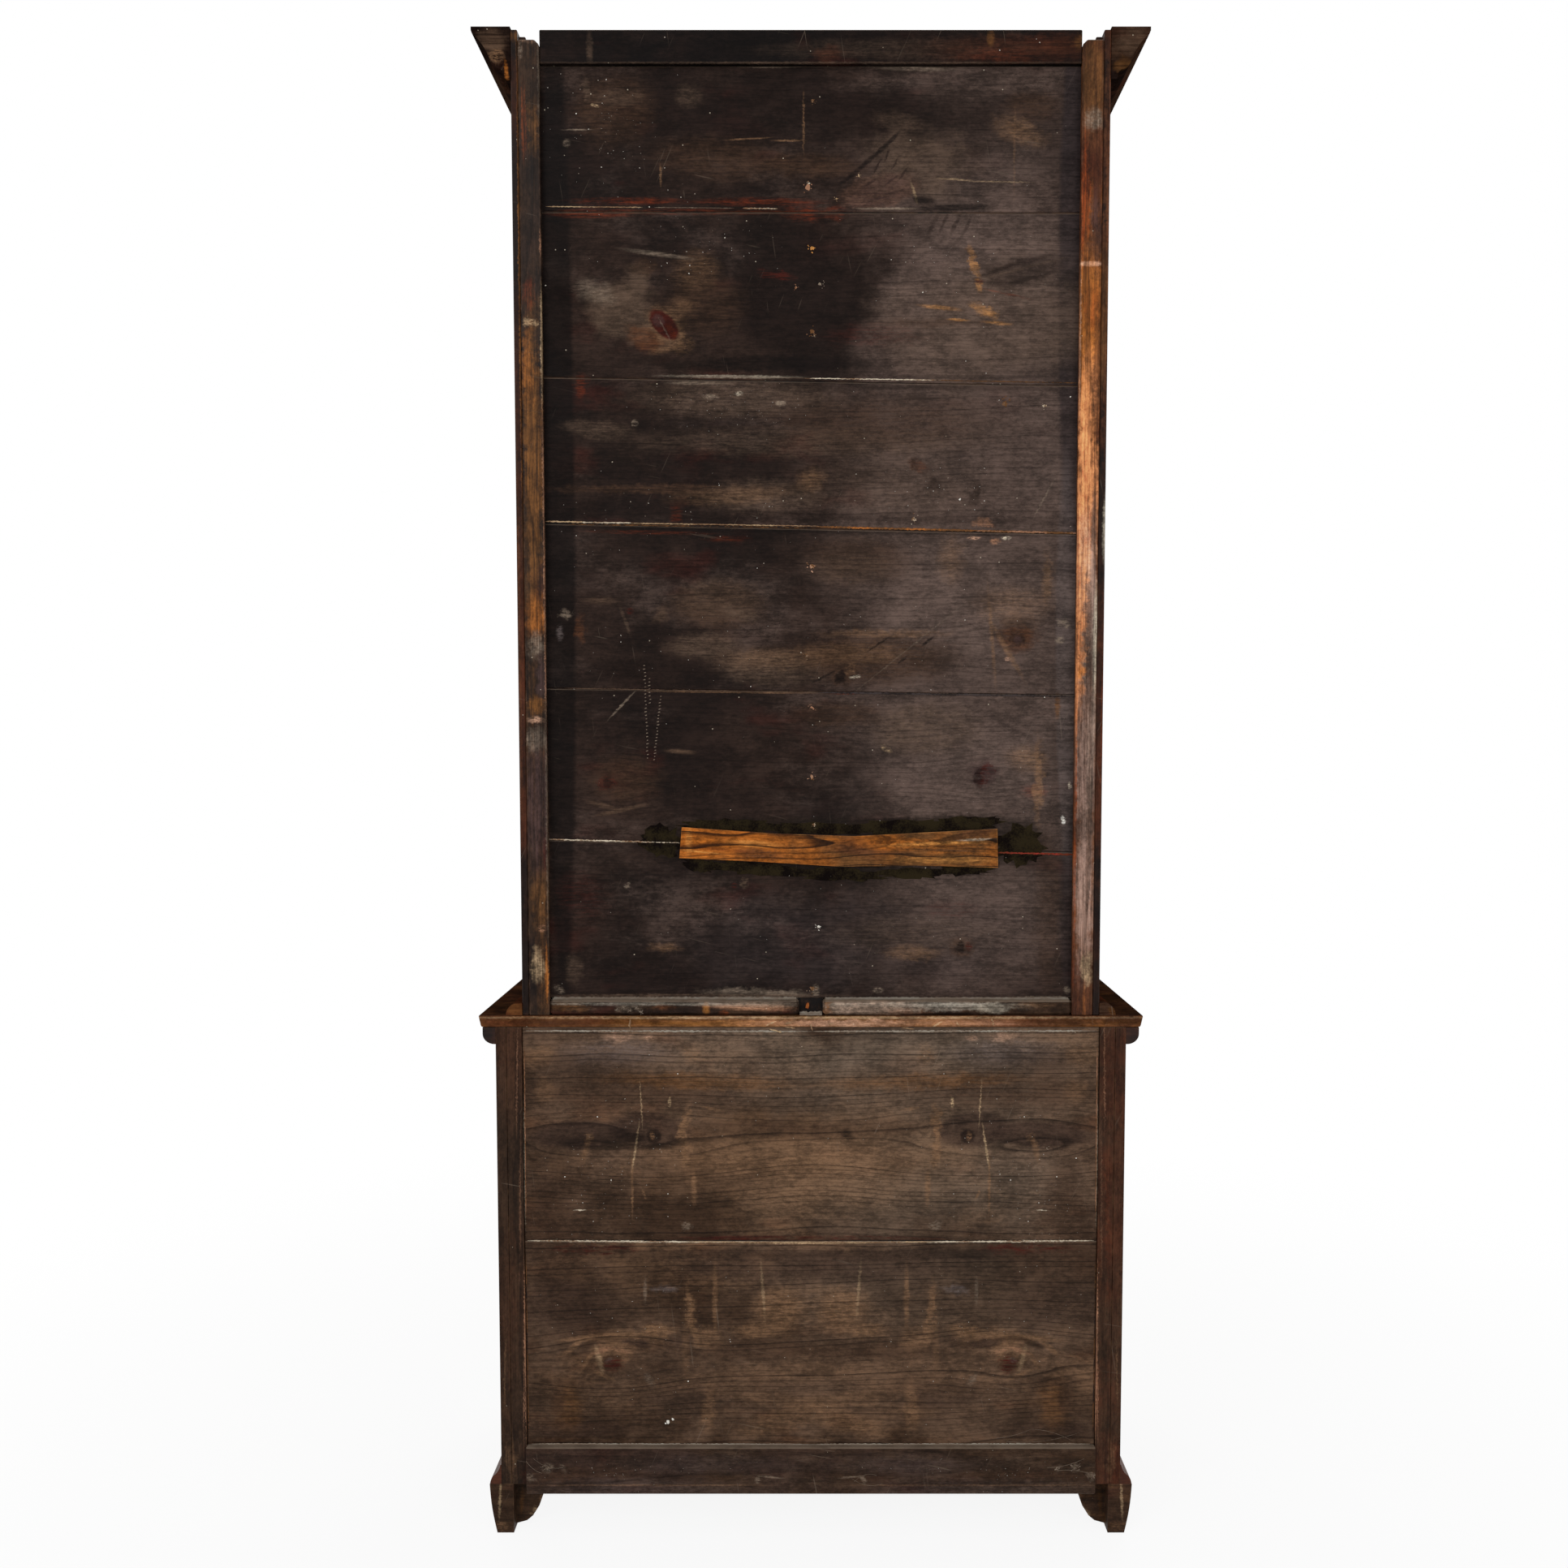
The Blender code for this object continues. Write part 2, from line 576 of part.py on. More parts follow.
def door_span(side, inner):
    """A door's left and right edges, with its gap at the hinge and half the meeting gap."""
    edges = (side * DOOR_MEETING_GAP / 2, side * (inner - DOOR_HINGE_GAP))
    return (min(edges), max(edges))


def sight_cut(frame, name, x, z, front):
    """Opens a frame from front to back, with a chamfered front arris."""
    back = front + DOOR_THICKNESS + CUT_OVERRUN
    flare = STICKING_WIDTH * CUT_OVERRUN / STICKING_DEPTH
    rings = [rectangle(x, z, front - CUT_OVERRUN, STICKING_WIDTH + flare),
             rectangle(x, z, front + STICKING_DEPTH), rectangle(x, z, back)]
    cut(frame, loft(rings), name)


def make_lower_door(word, side):
    """A framed door with a raised and fielded panel held in a groove."""
    x = door_span(side, LOWER_INNER)
    z = (LOWER_FLOOR + DOOR_END_GAP, DIVIDER_BOTTOM - DOOR_END_GAP)
    name = f"lower_door_{word}"
    slab = loft([rectangle(x, z, LOWER_FRONT), rectangle(x, z, LOWER_FRONT + DOOR_THICKNESS)])
    frame = add_object(name, slab, "walnut")
    sight_x = (x[0] + LOWER_STILE, x[1] - LOWER_STILE)
    sight_z = (z[0] + LOWER_RAIL, z[1] - LOWER_RAIL)
    sight_cut(frame, f"{name}_sight_cutter", sight_x, sight_z, LOWER_FRONT)
    groove_front = LOWER_FRONT + (DOOR_THICKNESS - GROOVE_WIDTH) / 2
    groove_back = groove_front + GROOVE_WIDTH
    groove = loft([rectangle(sight_x, sight_z, groove_front, GROOVE_DEPTH),
                   rectangle(sight_x, sight_z, groove_back, GROOVE_DEPTH)])
    cut(frame, groove, f"{name}_groove_cutter")

    tongue = GROOVE_DEPTH - SEAT
    field_face = LOWER_FRONT + PANEL_SETBACK
    rings = [rectangle(sight_x, sight_z, field_face, -PANEL_FIELD_MARGIN),
             rectangle(sight_x, sight_z, field_face + PANEL_FIELD_STEP, -PANEL_FIELD_MARGIN),
             rectangle(sight_x, sight_z, groove_front + SEAT, -SEAT),
             rectangle(sight_x, sight_z, groove_front + SEAT, tongue),
             rectangle(sight_x, sight_z, groove_back - SEAT, tongue)]
    panel = add_object(f"lower_door_panel_{word}", loft(rings), "walnut")
    return frame, panel, z


def make_upper_door(word, side):
    """A glazed door: stiles, rails and thin bars, with one sheet of glass in the rebate behind them."""
    x = door_span(side, UPPER_INNER)
    z = (UPPER_FLOOR + DOOR_END_GAP, FRIEZE_BOTTOM - DOOR_END_GAP)
    name = f"upper_door_{word}"
    slab = loft([rectangle(x, z, UPPER_FRONT), rectangle(x, z, UPPER_FRONT + DOOR_THICKNESS)])
    frame = add_object(name, slab, "walnut")
    sight_x = (x[0] + UPPER_STILE, x[1] - UPPER_STILE)
    sight_z = (z[0] + UPPER_BOTTOM_RAIL, z[1] - UPPER_TOP_RAIL)
    rebate_front = UPPER_FRONT + GLAZING_DEPTH
    rebate = loft([rectangle(sight_x, sight_z, rebate_front, GLASS_REBATE),
                   rectangle(sight_x, sight_z, UPPER_FRONT + DOOR_THICKNESS + CUT_OVERRUN, GLASS_REBATE)])
    cut(frame, rebate, f"{name}_rebate_cutter")
    pane_width = (sight_x[1] - sight_x[0] - GLAZING_BAR * (PANE_COLUMNS - 1)) / PANE_COLUMNS
    pane_height = (sight_z[1] - sight_z[0] - GLAZING_BAR * (PANE_ROWS - 1)) / PANE_ROWS
    for column in range(PANE_COLUMNS):
        left = sight_x[0] + column * (pane_width + GLAZING_BAR)
        for row in range(PANE_ROWS):
            low = sight_z[0] + row * (pane_height + GLAZING_BAR)
            pane = f"{name}_pane_cutter_{column}_{row}"
            sight_cut(frame, pane, (left, left + pane_width), (low, low + pane_height), UPPER_FRONT)
    seat = GLASS_REBATE - SEAT
    glass_front = rebate_front + SEAT
    sheet = loft([rectangle(sight_x, sight_z, glass_front, seat),
                  rectangle(sight_x, sight_z, glass_front + GLASS_THICKNESS, seat)])
    glass = add_object(f"upper_door_glass_{word}", sheet, "window_glass")
    return frame, glass, z


def make_doors():
    """All four doors with their hinges, and one knob for each pair on the right-hand door."""
    rows = (("lower", make_lower_door, LOWER_INNER, LOWER_FRONT, LOWER_STILE, LOWER_KNOB_LEVEL_SHARE),
            ("upper", make_upper_door, UPPER_INNER, UPPER_FRONT, UPPER_STILE, UPPER_KNOB_LEVEL_SHARE))
    for case, make_door, inner, front, stile, knob_share in rows:
        for word, side in SIDES:
            frame, filling, (low, high) = make_door(word, side)
            moving = [frame, filling]
            if side > 0:
                knob_x = (DOOR_MEETING_GAP + stile) / 2
                moving.append(make_knob(f"{case}_door_knob", knob_x, front, low + (high - low) * knob_share))
            place = (high - low) * HINGE_PLACE_SHARE
            for number, z in enumerate((low + place, high - place), 1):
                make_hinge(f"{case}_hinge_{word}_{number}", side, inner, front, z)
            axis_x = side * (inner - SEAT - HINGE_LEAF / 2)
            anchor = joint_empty(f"{case}_door_{word}_axis", (axis_x, front - SEAT - HINGE_RADIUS, low))
            parent_to(anchor, moving)


def make_drawer():
    """The drawer: a front, a three-sided box, a bottom board and two knobs, on one slide."""
    front_x = (DRAWER_CLEARANCE - LOWER_INNER, LOWER_INNER - DRAWER_CLEARANCE)
    low = DRAWER_DIVIDER_LEVEL + DRAWER_RUN
    front_z = (low, DRAWER_CEILING - DRAWER_CLEARANCE)
    front_y = (LOWER_FRONT, LOWER_FRONT + DRAWER_FRONT_THICKNESS)
    moving = [board("drawer_front", front_x, front_y, front_z, "walnut")]

    near = front_y[1] + SEAT
    far = near + DRAWER_LENGTH
    outer = front_x[1] - DRAWER_CLEARANCE
    inner = outer - DRAWER_SIDE
    top = front_z[1] - DRAWER_TOP_DROP
    outline = [(-outer, near), (-inner, near), (-inner, far - DRAWER_SIDE), (inner, far - DRAWER_SIDE),
               (inner, near), (outer, near), (outer, far), (-outer, far)]
    box = add_object("drawer_box", extruded(outline, "Z", low, top), "drawer_lining")
    half = inner - SEAT
    before, behind = far - DRAWER_SIDE - CUT_OVERRUN, far + CUT_OVERRUN
    lowered = [(-half, before), (half, before), (half, behind), (-half, behind)]
    cut(box, extruded(lowered, "Z", top - DRAWER_BACK_DROP, top + CUT_OVERRUN), "drawer_back_cutter")
    moving.append(box)

    bottom_z = (low + DRAWER_BOTTOM_LIFT, low + DRAWER_BOTTOM_LIFT + DRAWER_BOTTOM)
    bottom_y = (near, far - DRAWER_SIDE - SEAT)
    moving.append(board("drawer_bottom", (SEAT - inner, inner - SEAT), bottom_y, bottom_z, "drawer_lining"))
    for word, side in SIDES:
        x = side * outer * DRAWER_KNOB_SHARE
        moving.append(make_knob(f"drawer_knob_{word}", x, LOWER_FRONT, sum(front_z) / 2))
    parent_to(joint_empty("drawer_axis", (0, LOWER_FRONT, low)), moving)


def make_upper_side(word, side):
    """An upper side, rebated along its back edge for the back boards."""
    outer = UPPER_WIDTH / 2
    shoulder = UPPER_BACK_FRONT - SEAT
    outline = side_outline(side, [(outer, UPPER_FRONT), (UPPER_INNER, UPPER_FRONT), (UPPER_INNER, shoulder),
                                  (REBATE_INNER, shoulder), (REBATE_INNER, BACK), (outer, BACK)])
    low = WORKTOP_LEVEL + SEAT
    board_side = add_object(f"upper_side_{word}", extruded(outline, "Z", low, UPPER_TOP), "walnut")
    ease_edges(board_side, BOARD_EASE)
    runs = [(UPPER_FRONT - CUT_OVERRUN, (low - CUT_OVERRUN, UPPER_FLOOR))]
    runs += [(SHELF_FRONT - SEAT, (level - UPPER_BOARD, level)) for level in shelf_levels()]
    runs.append((BEHIND_FRIEZE - SEAT, (TOP_BOARD_BOTTOM, TOP_BOARD_TOP)))
    cut_housings(board_side, side, UPPER_INNER, runs, shoulder + CUT_OVERRUN)


def shelf_levels():
    """Top faces of the shelves, evenly spaced between the upper floor and the top board."""
    pitch = (TOP_BOARD_BOTTOM - UPPER_FLOOR + UPPER_BOARD) / (SHELF_COUNT + 1)
    return [UPPER_FLOOR + pitch * number for number in range(1, SHELF_COUNT + 1)]


def make_upper_boards():
    """Bottom, top, frieze and shelves of the upper case."""
    x = (SEAT - UPPER_INNER, UPPER_INNER - SEAT)
    housed = (SEAT - UPPER_INNER - HOUSING_DEPTH, UPPER_INNER + HOUSING_DEPTH - SEAT)
    back = UPPER_BACK_FRONT - SEAT
    board("upper_bottom_board", housed, (UPPER_FRONT, back), (WORKTOP_LEVEL + SEAT, UPPER_FLOOR), "walnut")
    top_z = (TOP_BOARD_BOTTOM, TOP_BOARD_TOP)
    board("upper_top_board", housed, (BEHIND_FRIEZE, back), top_z, "dark_softwood")
    frieze_y = (UPPER_FRONT, UPPER_FRONT + FRIEZE_THICKNESS)
    board("frieze_board", x, frieze_y, (FRIEZE_BOTTOM, UPPER_TOP), "walnut")
    for number, level in enumerate(shelf_levels(), 1):
        z = (level - UPPER_BOARD, level)
        board(f"upper_shelf_{number}", housed, (SHELF_FRONT, back), z, "walnut", ease=SHELF_EASE)


def make_upper_back():
    """Six horizontal boards in the rebates, cover stiles over their ends, and a top rail."""
    x = (SEAT - REBATE_INNER, REBATE_INNER - SEAT)
    y = (UPPER_BACK_FRONT, UPPER_BACK_FACE)
    low = CLEAT_TOP + SEAT
    height = BACK_TOP_RAIL_BOTTOM - SEAT - low
    level = low
    lower_edge = (low, low)
    seams = zip(UPPER_BOARD_SHARES, UPPER_SEAM_GAPS, UPPER_SEAM_SLANT_SHARES)
    for number, (share, gap, slant_share) in enumerate(seams, 1):
        level += height * share
        half_slant = UPPER_SEAM_SLANT * slant_share / 2
        seam = (level - half_slant, level + half_slant)
        outline = [(x[0], lower_edge[0]), (x[1], lower_edge[1]),
                   (x[1], seam[1] - gap), (x[0], seam[0] - gap)]
        shape = extruded(outline, "Y", *y)
        ease_edges(add_object(f"upper_back_board_{number}", shape, "dark_softwood"), BOARD_EASE)
        lower_edge = seam
    rail_face = BACK - BACK_TOP_RAIL_SETBACK
    rail_x = (SEAT - STILE_INNER, STILE_INNER - SEAT)
    rail_y = (rail_face - BACK_TOP_RAIL_THICKNESS, rail_face)
    board("upper_back_top_rail", rail_x, rail_y, (BACK_TOP_RAIL_BOTTOM, BACK_TOP_RAIL_TOP), "dark_softwood")
    for word, side in SIDES:
        make_back_stile(word, side)


def make_back_stile(word, side):
    """A cover strip over the board ends, with its inner top corner cut off."""
    outer = REBATE_INNER - SEAT
    low = WORKTOP_LEVEL + SEAT
    high = TOTAL_HEIGHT - BACK_STILE_DROP
    outline = side_outline(side, [(outer, low), (STILE_INNER, low), (STILE_INNER, high - BACK_STILE_CHAMFER),
                                  (STILE_INNER + BACK_STILE_CHAMFER, high), (outer, high)])
    shape = extruded(outline, "Y", UPPER_BACK_FACE + SEAT, BACK)
    ease_edges(add_object(f"upper_back_stile_{word}", shape, "polished_pine"), BOARD_EASE)


def make_cleats():
    """Two blocks on the worktop that carry the back boards and leave a dusty ledge behind them."""
    for word, side in SIDES:
        edges = (side * CLEAT_MIDDLE_GAP / 2, side * (STILE_INNER - SEAT))
        x = (min(edges), max(edges))
        y = (UPPER_BACK_FRONT, BACK - SEAT)
        board(f"rear_cleat_{word}", x, y, (WORKTOP_LEVEL + SEAT, CLEAT_TOP), "stained_post", ease=CLEAT_EASE)


def make_upper_mouldings():
    """The quarter round at the waist and the cornice, both run round the front and the sides."""
    path = round_case_path(UPPER_WIDTH / 2, UPPER_FRONT)
    low = WORKTOP_LEVEL + SEAT
    land = WAIST_PROJECTION * WAIST_LAND_SHARE
    section = [(SEAT, low + WAIST_HEIGHT), (SEAT, low)]
    section += quarter((land, low), (WAIST_PROJECTION - land, WAIST_HEIGHT), 0, 90)
    add_object("waist_moulding", mitred(section, path), "walnut_moulding")

    base = TOTAL_HEIGHT - CORNICE_HEIGHT
    shares = list(CORNICE_TIP_SHARES)
    for start, end, rise in CORNICE_SHARES:
        shares += [tuple(point) for point in bow(start, end, -rise)]
    shares += CORNICE_FOOT_SHARES
    section = [(SEAT, base), (SEAT, TOTAL_HEIGHT)]
    section += [(out * CORNICE_PROJECTION, base + up * CORNICE_HEIGHT) for out, up in shares]
    add_object("cornice", mitred(without_repeats(section), path), "walnut_moulding")


def make_repair_strip():
    """A thin worn strip nailed across the lowest seam of the upper back."""
    start = STRIP_LENGTH / 2 - STRIP_OFFSET
    level = STRIP_LEVEL - STRIP_HEIGHT / 2
    outline = [(start - STRIP_LENGTH * along, level + STRIP_HEIGHT * up) for along, up in STRIP_SHARES]
    face = UPPER_BACK_FACE + SEAT
    add_object("repair_strip", extruded(outline, "Y", face, face + STRIP_THICKNESS), "golden_strip")


def make_cupboard():
    """Builds both cases, their doors, the drawer and the feet."""
    clear_scene()
    for word, side in SIDES:
        make_lower_side(word, side)
        make_front_foot(word, side)
        make_rear_foot(word, side)
        make_upper_side(word, side)
    make_lower_boards()
    make_lower_back()
    make_worktop()
    make_lower_mouldings()
    make_drawer()
    make_doors()
    make_upper_boards()
    make_upper_back()
    make_cleats()
    make_upper_mouldings()
    make_repair_strip()


make_cupboard()
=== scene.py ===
import math
import random

import bmesh
import bpy
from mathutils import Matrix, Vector


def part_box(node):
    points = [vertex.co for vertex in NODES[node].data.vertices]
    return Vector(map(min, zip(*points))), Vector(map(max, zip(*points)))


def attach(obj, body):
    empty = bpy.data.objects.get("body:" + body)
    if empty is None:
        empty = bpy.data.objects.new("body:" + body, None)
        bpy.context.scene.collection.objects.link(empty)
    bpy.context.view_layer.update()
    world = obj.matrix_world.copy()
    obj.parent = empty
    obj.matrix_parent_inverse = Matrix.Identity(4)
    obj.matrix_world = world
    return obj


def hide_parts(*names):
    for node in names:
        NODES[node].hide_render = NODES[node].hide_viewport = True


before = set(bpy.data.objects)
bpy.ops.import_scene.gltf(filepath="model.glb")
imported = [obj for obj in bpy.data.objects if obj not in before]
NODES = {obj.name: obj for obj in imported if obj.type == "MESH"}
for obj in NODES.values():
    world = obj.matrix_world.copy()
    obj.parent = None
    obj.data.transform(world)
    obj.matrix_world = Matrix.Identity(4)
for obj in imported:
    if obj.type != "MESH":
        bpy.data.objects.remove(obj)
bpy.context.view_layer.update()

RANDOM_START = 1037

# The camera, behind the cupboard: distances in metres, and the photograph's frame in pixels
IMAGE_SIDE = 1932.0
SENSOR = 36.0
FOCAL_PIXELS = 1979.6
CENTRE_COLUMN = 999.0
CAMERA_GAP = 2.4
CAMERA_HEIGHT = 1.229
CAMERA_PITCH = math.radians(4.0)
SHIFT_UP = 0.04
# One pixel of the photograph on the cupboard's back, in metres
PIXEL = CAMERA_GAP / FOCAL_PIXELS

# The planes that the photograph shows, and the camera's own
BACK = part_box("upper_back_stile_left")[1].y
UPPER_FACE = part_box("upper_back_board_2")[1].y
LOWER_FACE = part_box("lower_back_board_1")[1].y
RAIL_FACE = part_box("lower_back_rail")[1].y
CAMERA_Y = BACK + CAMERA_GAP
FACES = {"upper": UPPER_FACE, "lower": LOWER_FACE}

# Colours, as they read in the photograph (0 to 255)
TONES = {
    "black": (14, 9, 8), "stain": (27, 18, 15), "pitch": (24, 17, 12), "slate": (44, 32, 27),
    "lead": (58, 49, 48), "smoke": (84, 67, 55), "ash": (128, 112, 97), "umber": (60, 42, 31),
    "sienna": (86, 52, 32), "tan": (122, 91, 66), "straw": (178, 150, 116), "glint": (204, 190, 168),
    "white": (228, 224, 214), "brick": (96, 38, 18), "ember": (128, 58, 24), "oxblood": (60, 22, 16),
    "umbel": (98, 64, 34), "bronze": (128, 82, 38), "amber": (168, 100, 42), "honey": (204, 140, 72),
    "blush": (208, 162, 134), "clay": (158, 114, 88), "plum": (62, 45, 43), "red": (150, 44, 34),
    "ochre": (176, 98, 28), "taupe": (91, 75, 68), "mauve": (148, 122, 110), "nut": (87, 67, 53),
    "oak": (54, 38, 27), "steel": (92, 82, 80), "night": (40, 33, 34), "coral": (212, 138, 88),
    "walnut": (92, 56, 36), "russet": (70, 36, 22), "loam": (56, 41, 34), "cedar": (150, 84, 30),
    "dust": (152, 143, 130), "moss": (40, 33, 20),
}
# Tones whose marks fray like old paint, and pale ones that break up along the fibres
RED = ("brick", "ember", "oxblood", "red")
PALE = ("ash", "tan", "straw", "glint", "white", "blush", "clay", "smoke", "steel", "honey", "dust")


def colour(red, green, blue):
    """A colour written from 0 to 255, as the renderer's own linear values."""
    levels = []
    for level in (red / 255, green / 255, blue / 255):
        levels.append(level / 12.92 if level <= 0.04045 else ((level + 0.055) / 1.055) ** 2.4)
    return (*levels, 1.0)


def tone(name):
    """One of the named colours, ready for a socket."""
    return colour(*TONES[name])


def seen_at(column, row, y):
    """The (x, z) where a pixel of the photograph meets the upright plane at depth y."""
    gap = CAMERA_Y - y
    across = (CENTRE_COLUMN - column) / FOCAL_PIXELS
    above = (IMAGE_SIDE / 2 + SHIFT_UP * IMAGE_SIDE - row) / FOCAL_PIXELS
    cosine, sine = math.cos(CAMERA_PITCH), math.sin(CAMERA_PITCH)
    up = gap * (above * cosine - sine) / (cosine + above * sine)
    return across * (gap * cosine - up * sine), CAMERA_HEIGHT + up


# Node trees


def feed(tree, socket, value):
    """Links a socket to another one, or sets its plain value."""
    if isinstance(value, bpy.types.NodeSocket):
        tree.links.new(value, socket)
    elif socket.type == "RGBA" and len(value) == 3:
        socket.default_value = (*value, 1.0)
    else:
        socket.default_value = value


def put(tree, kind, sockets=None, **settings):
    """A new node with its settings, and its inputs linked or set."""
    node = tree.nodes.new(kind)
    for name, value in settings.items():
        setattr(node, name, value)
    for name, value in (sockets or {}).items():
        feed(tree, node.inputs[name], value)
    return node


def calc(tree, operation, *values, clamp=False):
    """A Math node's result."""
    node = put(tree, "ShaderNodeMath", dict(enumerate(values)), operation=operation, use_clamp=clamp)
    return node.outputs[0]


def feed_all(tree, node, **sockets):
    """Feeds a node's inputs by their names (spaces written as _)."""
    for name, value in sockets.items():
        feed(tree, node.inputs[name.replace("_", " ")], value)


def times(tree, first, second):
    """Two values multiplied."""
    return calc(tree, "MULTIPLY", first, second)


def vector_calc(tree, operation, *values):
    """A Vector Math node's vector, or its value where the operation gives one."""
    node = put(tree, "ShaderNodeVectorMath", dict(enumerate(values)), operation=operation)
    return node.outputs["Value" if operation in ("LENGTH", "DOT_PRODUCT") else "Vector"]


def turned(tree, vector, angle):
    """A vector turned about the Y axis."""
    return put(tree, "ShaderNodeVectorRotate", {"Vector": vector, "Angle": angle},
               rotation_type="Y_AXIS").outputs[0]


def height_of(tree, vector):
    """A vector's Z."""
    return put(tree, "ShaderNodeSeparateXYZ", {"Vector": vector}).outputs["Z"]


def blend(tree, share, first, second, kind="MIX"):
    """One colour laid over another by a share."""
    node = tree.nodes.new("ShaderNodeMix")
    node.data_type = "RGBA"
    node.blend_type = kind
    sockets = [s for s in node.inputs if s.enabled]
    for socket, value in zip(sockets, (share, first, second)):
        feed(tree, socket, value)
    return [s for s in node.outputs if s.enabled][0]


def ramp(tree, value, low, high, to_low=0.0, to_high=1.0):
    """A value eased from one range into another."""
    node = put(tree, "ShaderNodeMapRange", {"Value": value, "From Min": low, "From Max": high,
                                            "To Min": to_low, "To Max": to_high},
               interpolation_type="SMOOTHSTEP")
    return node.outputs["Result"]


def noise(tree, point, scale, detail=2.0, roughness=0.5, colour_out=False):
    """A noise texture's value, or its colour."""
    node = put(tree, "ShaderNodeTexNoise", {"Vector": point, "Scale": scale, "Detail": detail,
                                            "Roughness": roughness})
    return node.outputs["Color" if colour_out else "Fac"]


def drawn_noise(tree, point, along, across, detail, roughness=0.5):
    """Noise drawn out into streaks: so many waves to a metre along the grain, and so many across it."""
    squeezed = vector_calc(tree, "MULTIPLY", point, (along, across, across))
    return noise(tree, squeezed, 1.0, detail, roughness)


def strayed(tree, point, field, scale, detail, roughness, reach, middle=0.5):
    """The point pushed about by a coloured noise of the field, by up to a reach on each axis."""
    push = vector_calc(tree, "SUBTRACT", noise(tree, field, scale, detail, roughness, True), (middle,) * 3)
    return vector_calc(tree, "ADD", point, vector_calc(tree, "MULTIPLY", push, reach))


def new_group(name, inputs, outputs):
    """An empty node group: its inputs are values with a default, or vectors where that is None."""
    tree = bpy.data.node_groups.new(name, "ShaderNodeTree")
    for socket, value in inputs.items():
        kind = "NodeSocketVector" if value is None else "NodeSocketFloat"
        made = tree.interface.new_socket(socket, in_out="INPUT", socket_type=kind)
        if value is not None:
            made.default_value = value
    for socket in outputs:
        tree.interface.new_socket(socket, in_out="OUTPUT", socket_type="NodeSocketFloat")
    return tree, tree.nodes.new("NodeGroupInput").outputs, tree.nodes.new("NodeGroupOutput")


def use(tree, group, **sockets):
    """A group's outputs in this tree, with its inputs fed by name."""
    node = tree.nodes.new("ShaderNodeGroup")
    node.node_tree = group
    feed_all(tree, node, **sockets)
    return node.outputs


# Node groups: the effects that more than one material uses


def make_grain_group():
    """Growth rings, fibres and grit of a board whose grain runs along the point's X."""
    tree, given, result = new_group(
        "wood_grain", {"Point": None, "Pith": None, "Spacing": 0.006, "Waver": 0.02, "Seed": None,
                       "Bow": 0.0, "Short": 0.6}, ("Late", "Fibre", "Grit"))
    moved = vector_calc(tree, "ADD", given["Point"], given["Seed"])
    slow = calc(tree, "SUBTRACT", drawn_noise(tree, moved, 1.6, 5.0, 2.0), 0.5)
    quick = calc(tree, "SUBTRACT", drawn_noise(tree, moved, 7.0, 45.0, 2.0), 0.5)
    wander = calc(tree, "MULTIPLY_ADD", quick, 0.10, slow)
    offset = vector_calc(tree, "SUBTRACT", given["Point"], given["Pith"])
    radius = vector_calc(tree, "LENGTH", vector_calc(tree, "MULTIPLY", offset, (0.0, 1.0, 1.0)))
    radius = calc(tree, "ADD", calc(tree, "MULTIPLY_ADD", wander, given["Waver"], radius), given["Bow"])
    rings = calc(tree, "DIVIDE", radius, given["Spacing"])
    year = calc(tree, "FRACT", rings)
    number = put(tree, "ShaderNodeTexWhiteNoise", {"W": calc(tree, "FLOOR", rings)},
                 noise_dimensions="1D").outputs["Value"]
    late = times(tree, ramp(tree, year, 0.60, 0.92), ramp(tree, year, 0.94, 1.0, 1.0, 0.0))
    late = times(tree, late, ramp(tree, number, 0.0, 1.0, 0.25, 1.0))
    long_fibre = drawn_noise(tree, moved, 8.0, 300.0, 4.0, 0.70)
    short_fibre = drawn_noise(tree, moved, 44.0, 430.0, 4.0, 0.72)
    fibre = calc(tree, "MULTIPLY_ADD", calc(tree, "SUBTRACT", short_fibre, long_fibre), given["Short"],
                 long_fibre)
    pitted = drawn_noise(tree, moved, 110.0, 190.0, 4.0, 0.78)
    waved = strayed(tree, moved, moved, 9.0, 1.0, 0.5, (0.0, 0.05, 0.0), 0.0)
    brushed = drawn_noise(tree, waved, 18.0, 190.0, 3.0, 0.65)
    grit = times(tree, drawn_noise(tree, moved, 16.0, 30.0, 6.0, 0.70), 0.48)
    grit = calc(tree, "MULTIPLY_ADD", pitted, 0.40, grit)
    grit = calc(tree, "MULTIPLY_ADD", brushed, 0.12, grit)
    feed_all(tree, result, Late=late, Fibre=fibre, Grit=grit)
    return tree


def make_mark_group():
    """A soft oval mark at one place on an upright face, turned by a tilt and broken by the fibres."""
    tree, given, result = new_group(
        "placed_mark", {"Point": None, "Centre": None, "Half Size": None, "Tilt": 0.0, "Softness": 0.5,
                        "Broken": 1.0}, ("Mask",))
    offset = turned(tree, vector_calc(tree, "SUBTRACT", given["Point"], given["Centre"]), given["Tilt"])
    reach = vector_calc(tree, "LENGTH", vector_calc(tree, "DIVIDE", offset, given["Half Size"]))
    inner = calc(tree, "SUBTRACT", 1.0, given["Softness"])
    outer = calc(tree, "ADD", 1.0, given["Softness"])
    mask = ramp(tree, reach, inner, outer, 1.0, 0.0)
    feed_all(tree, result, Mask=calc(tree, "MULTIPLY", mask, given["Broken"], clamp=True))
    return tree


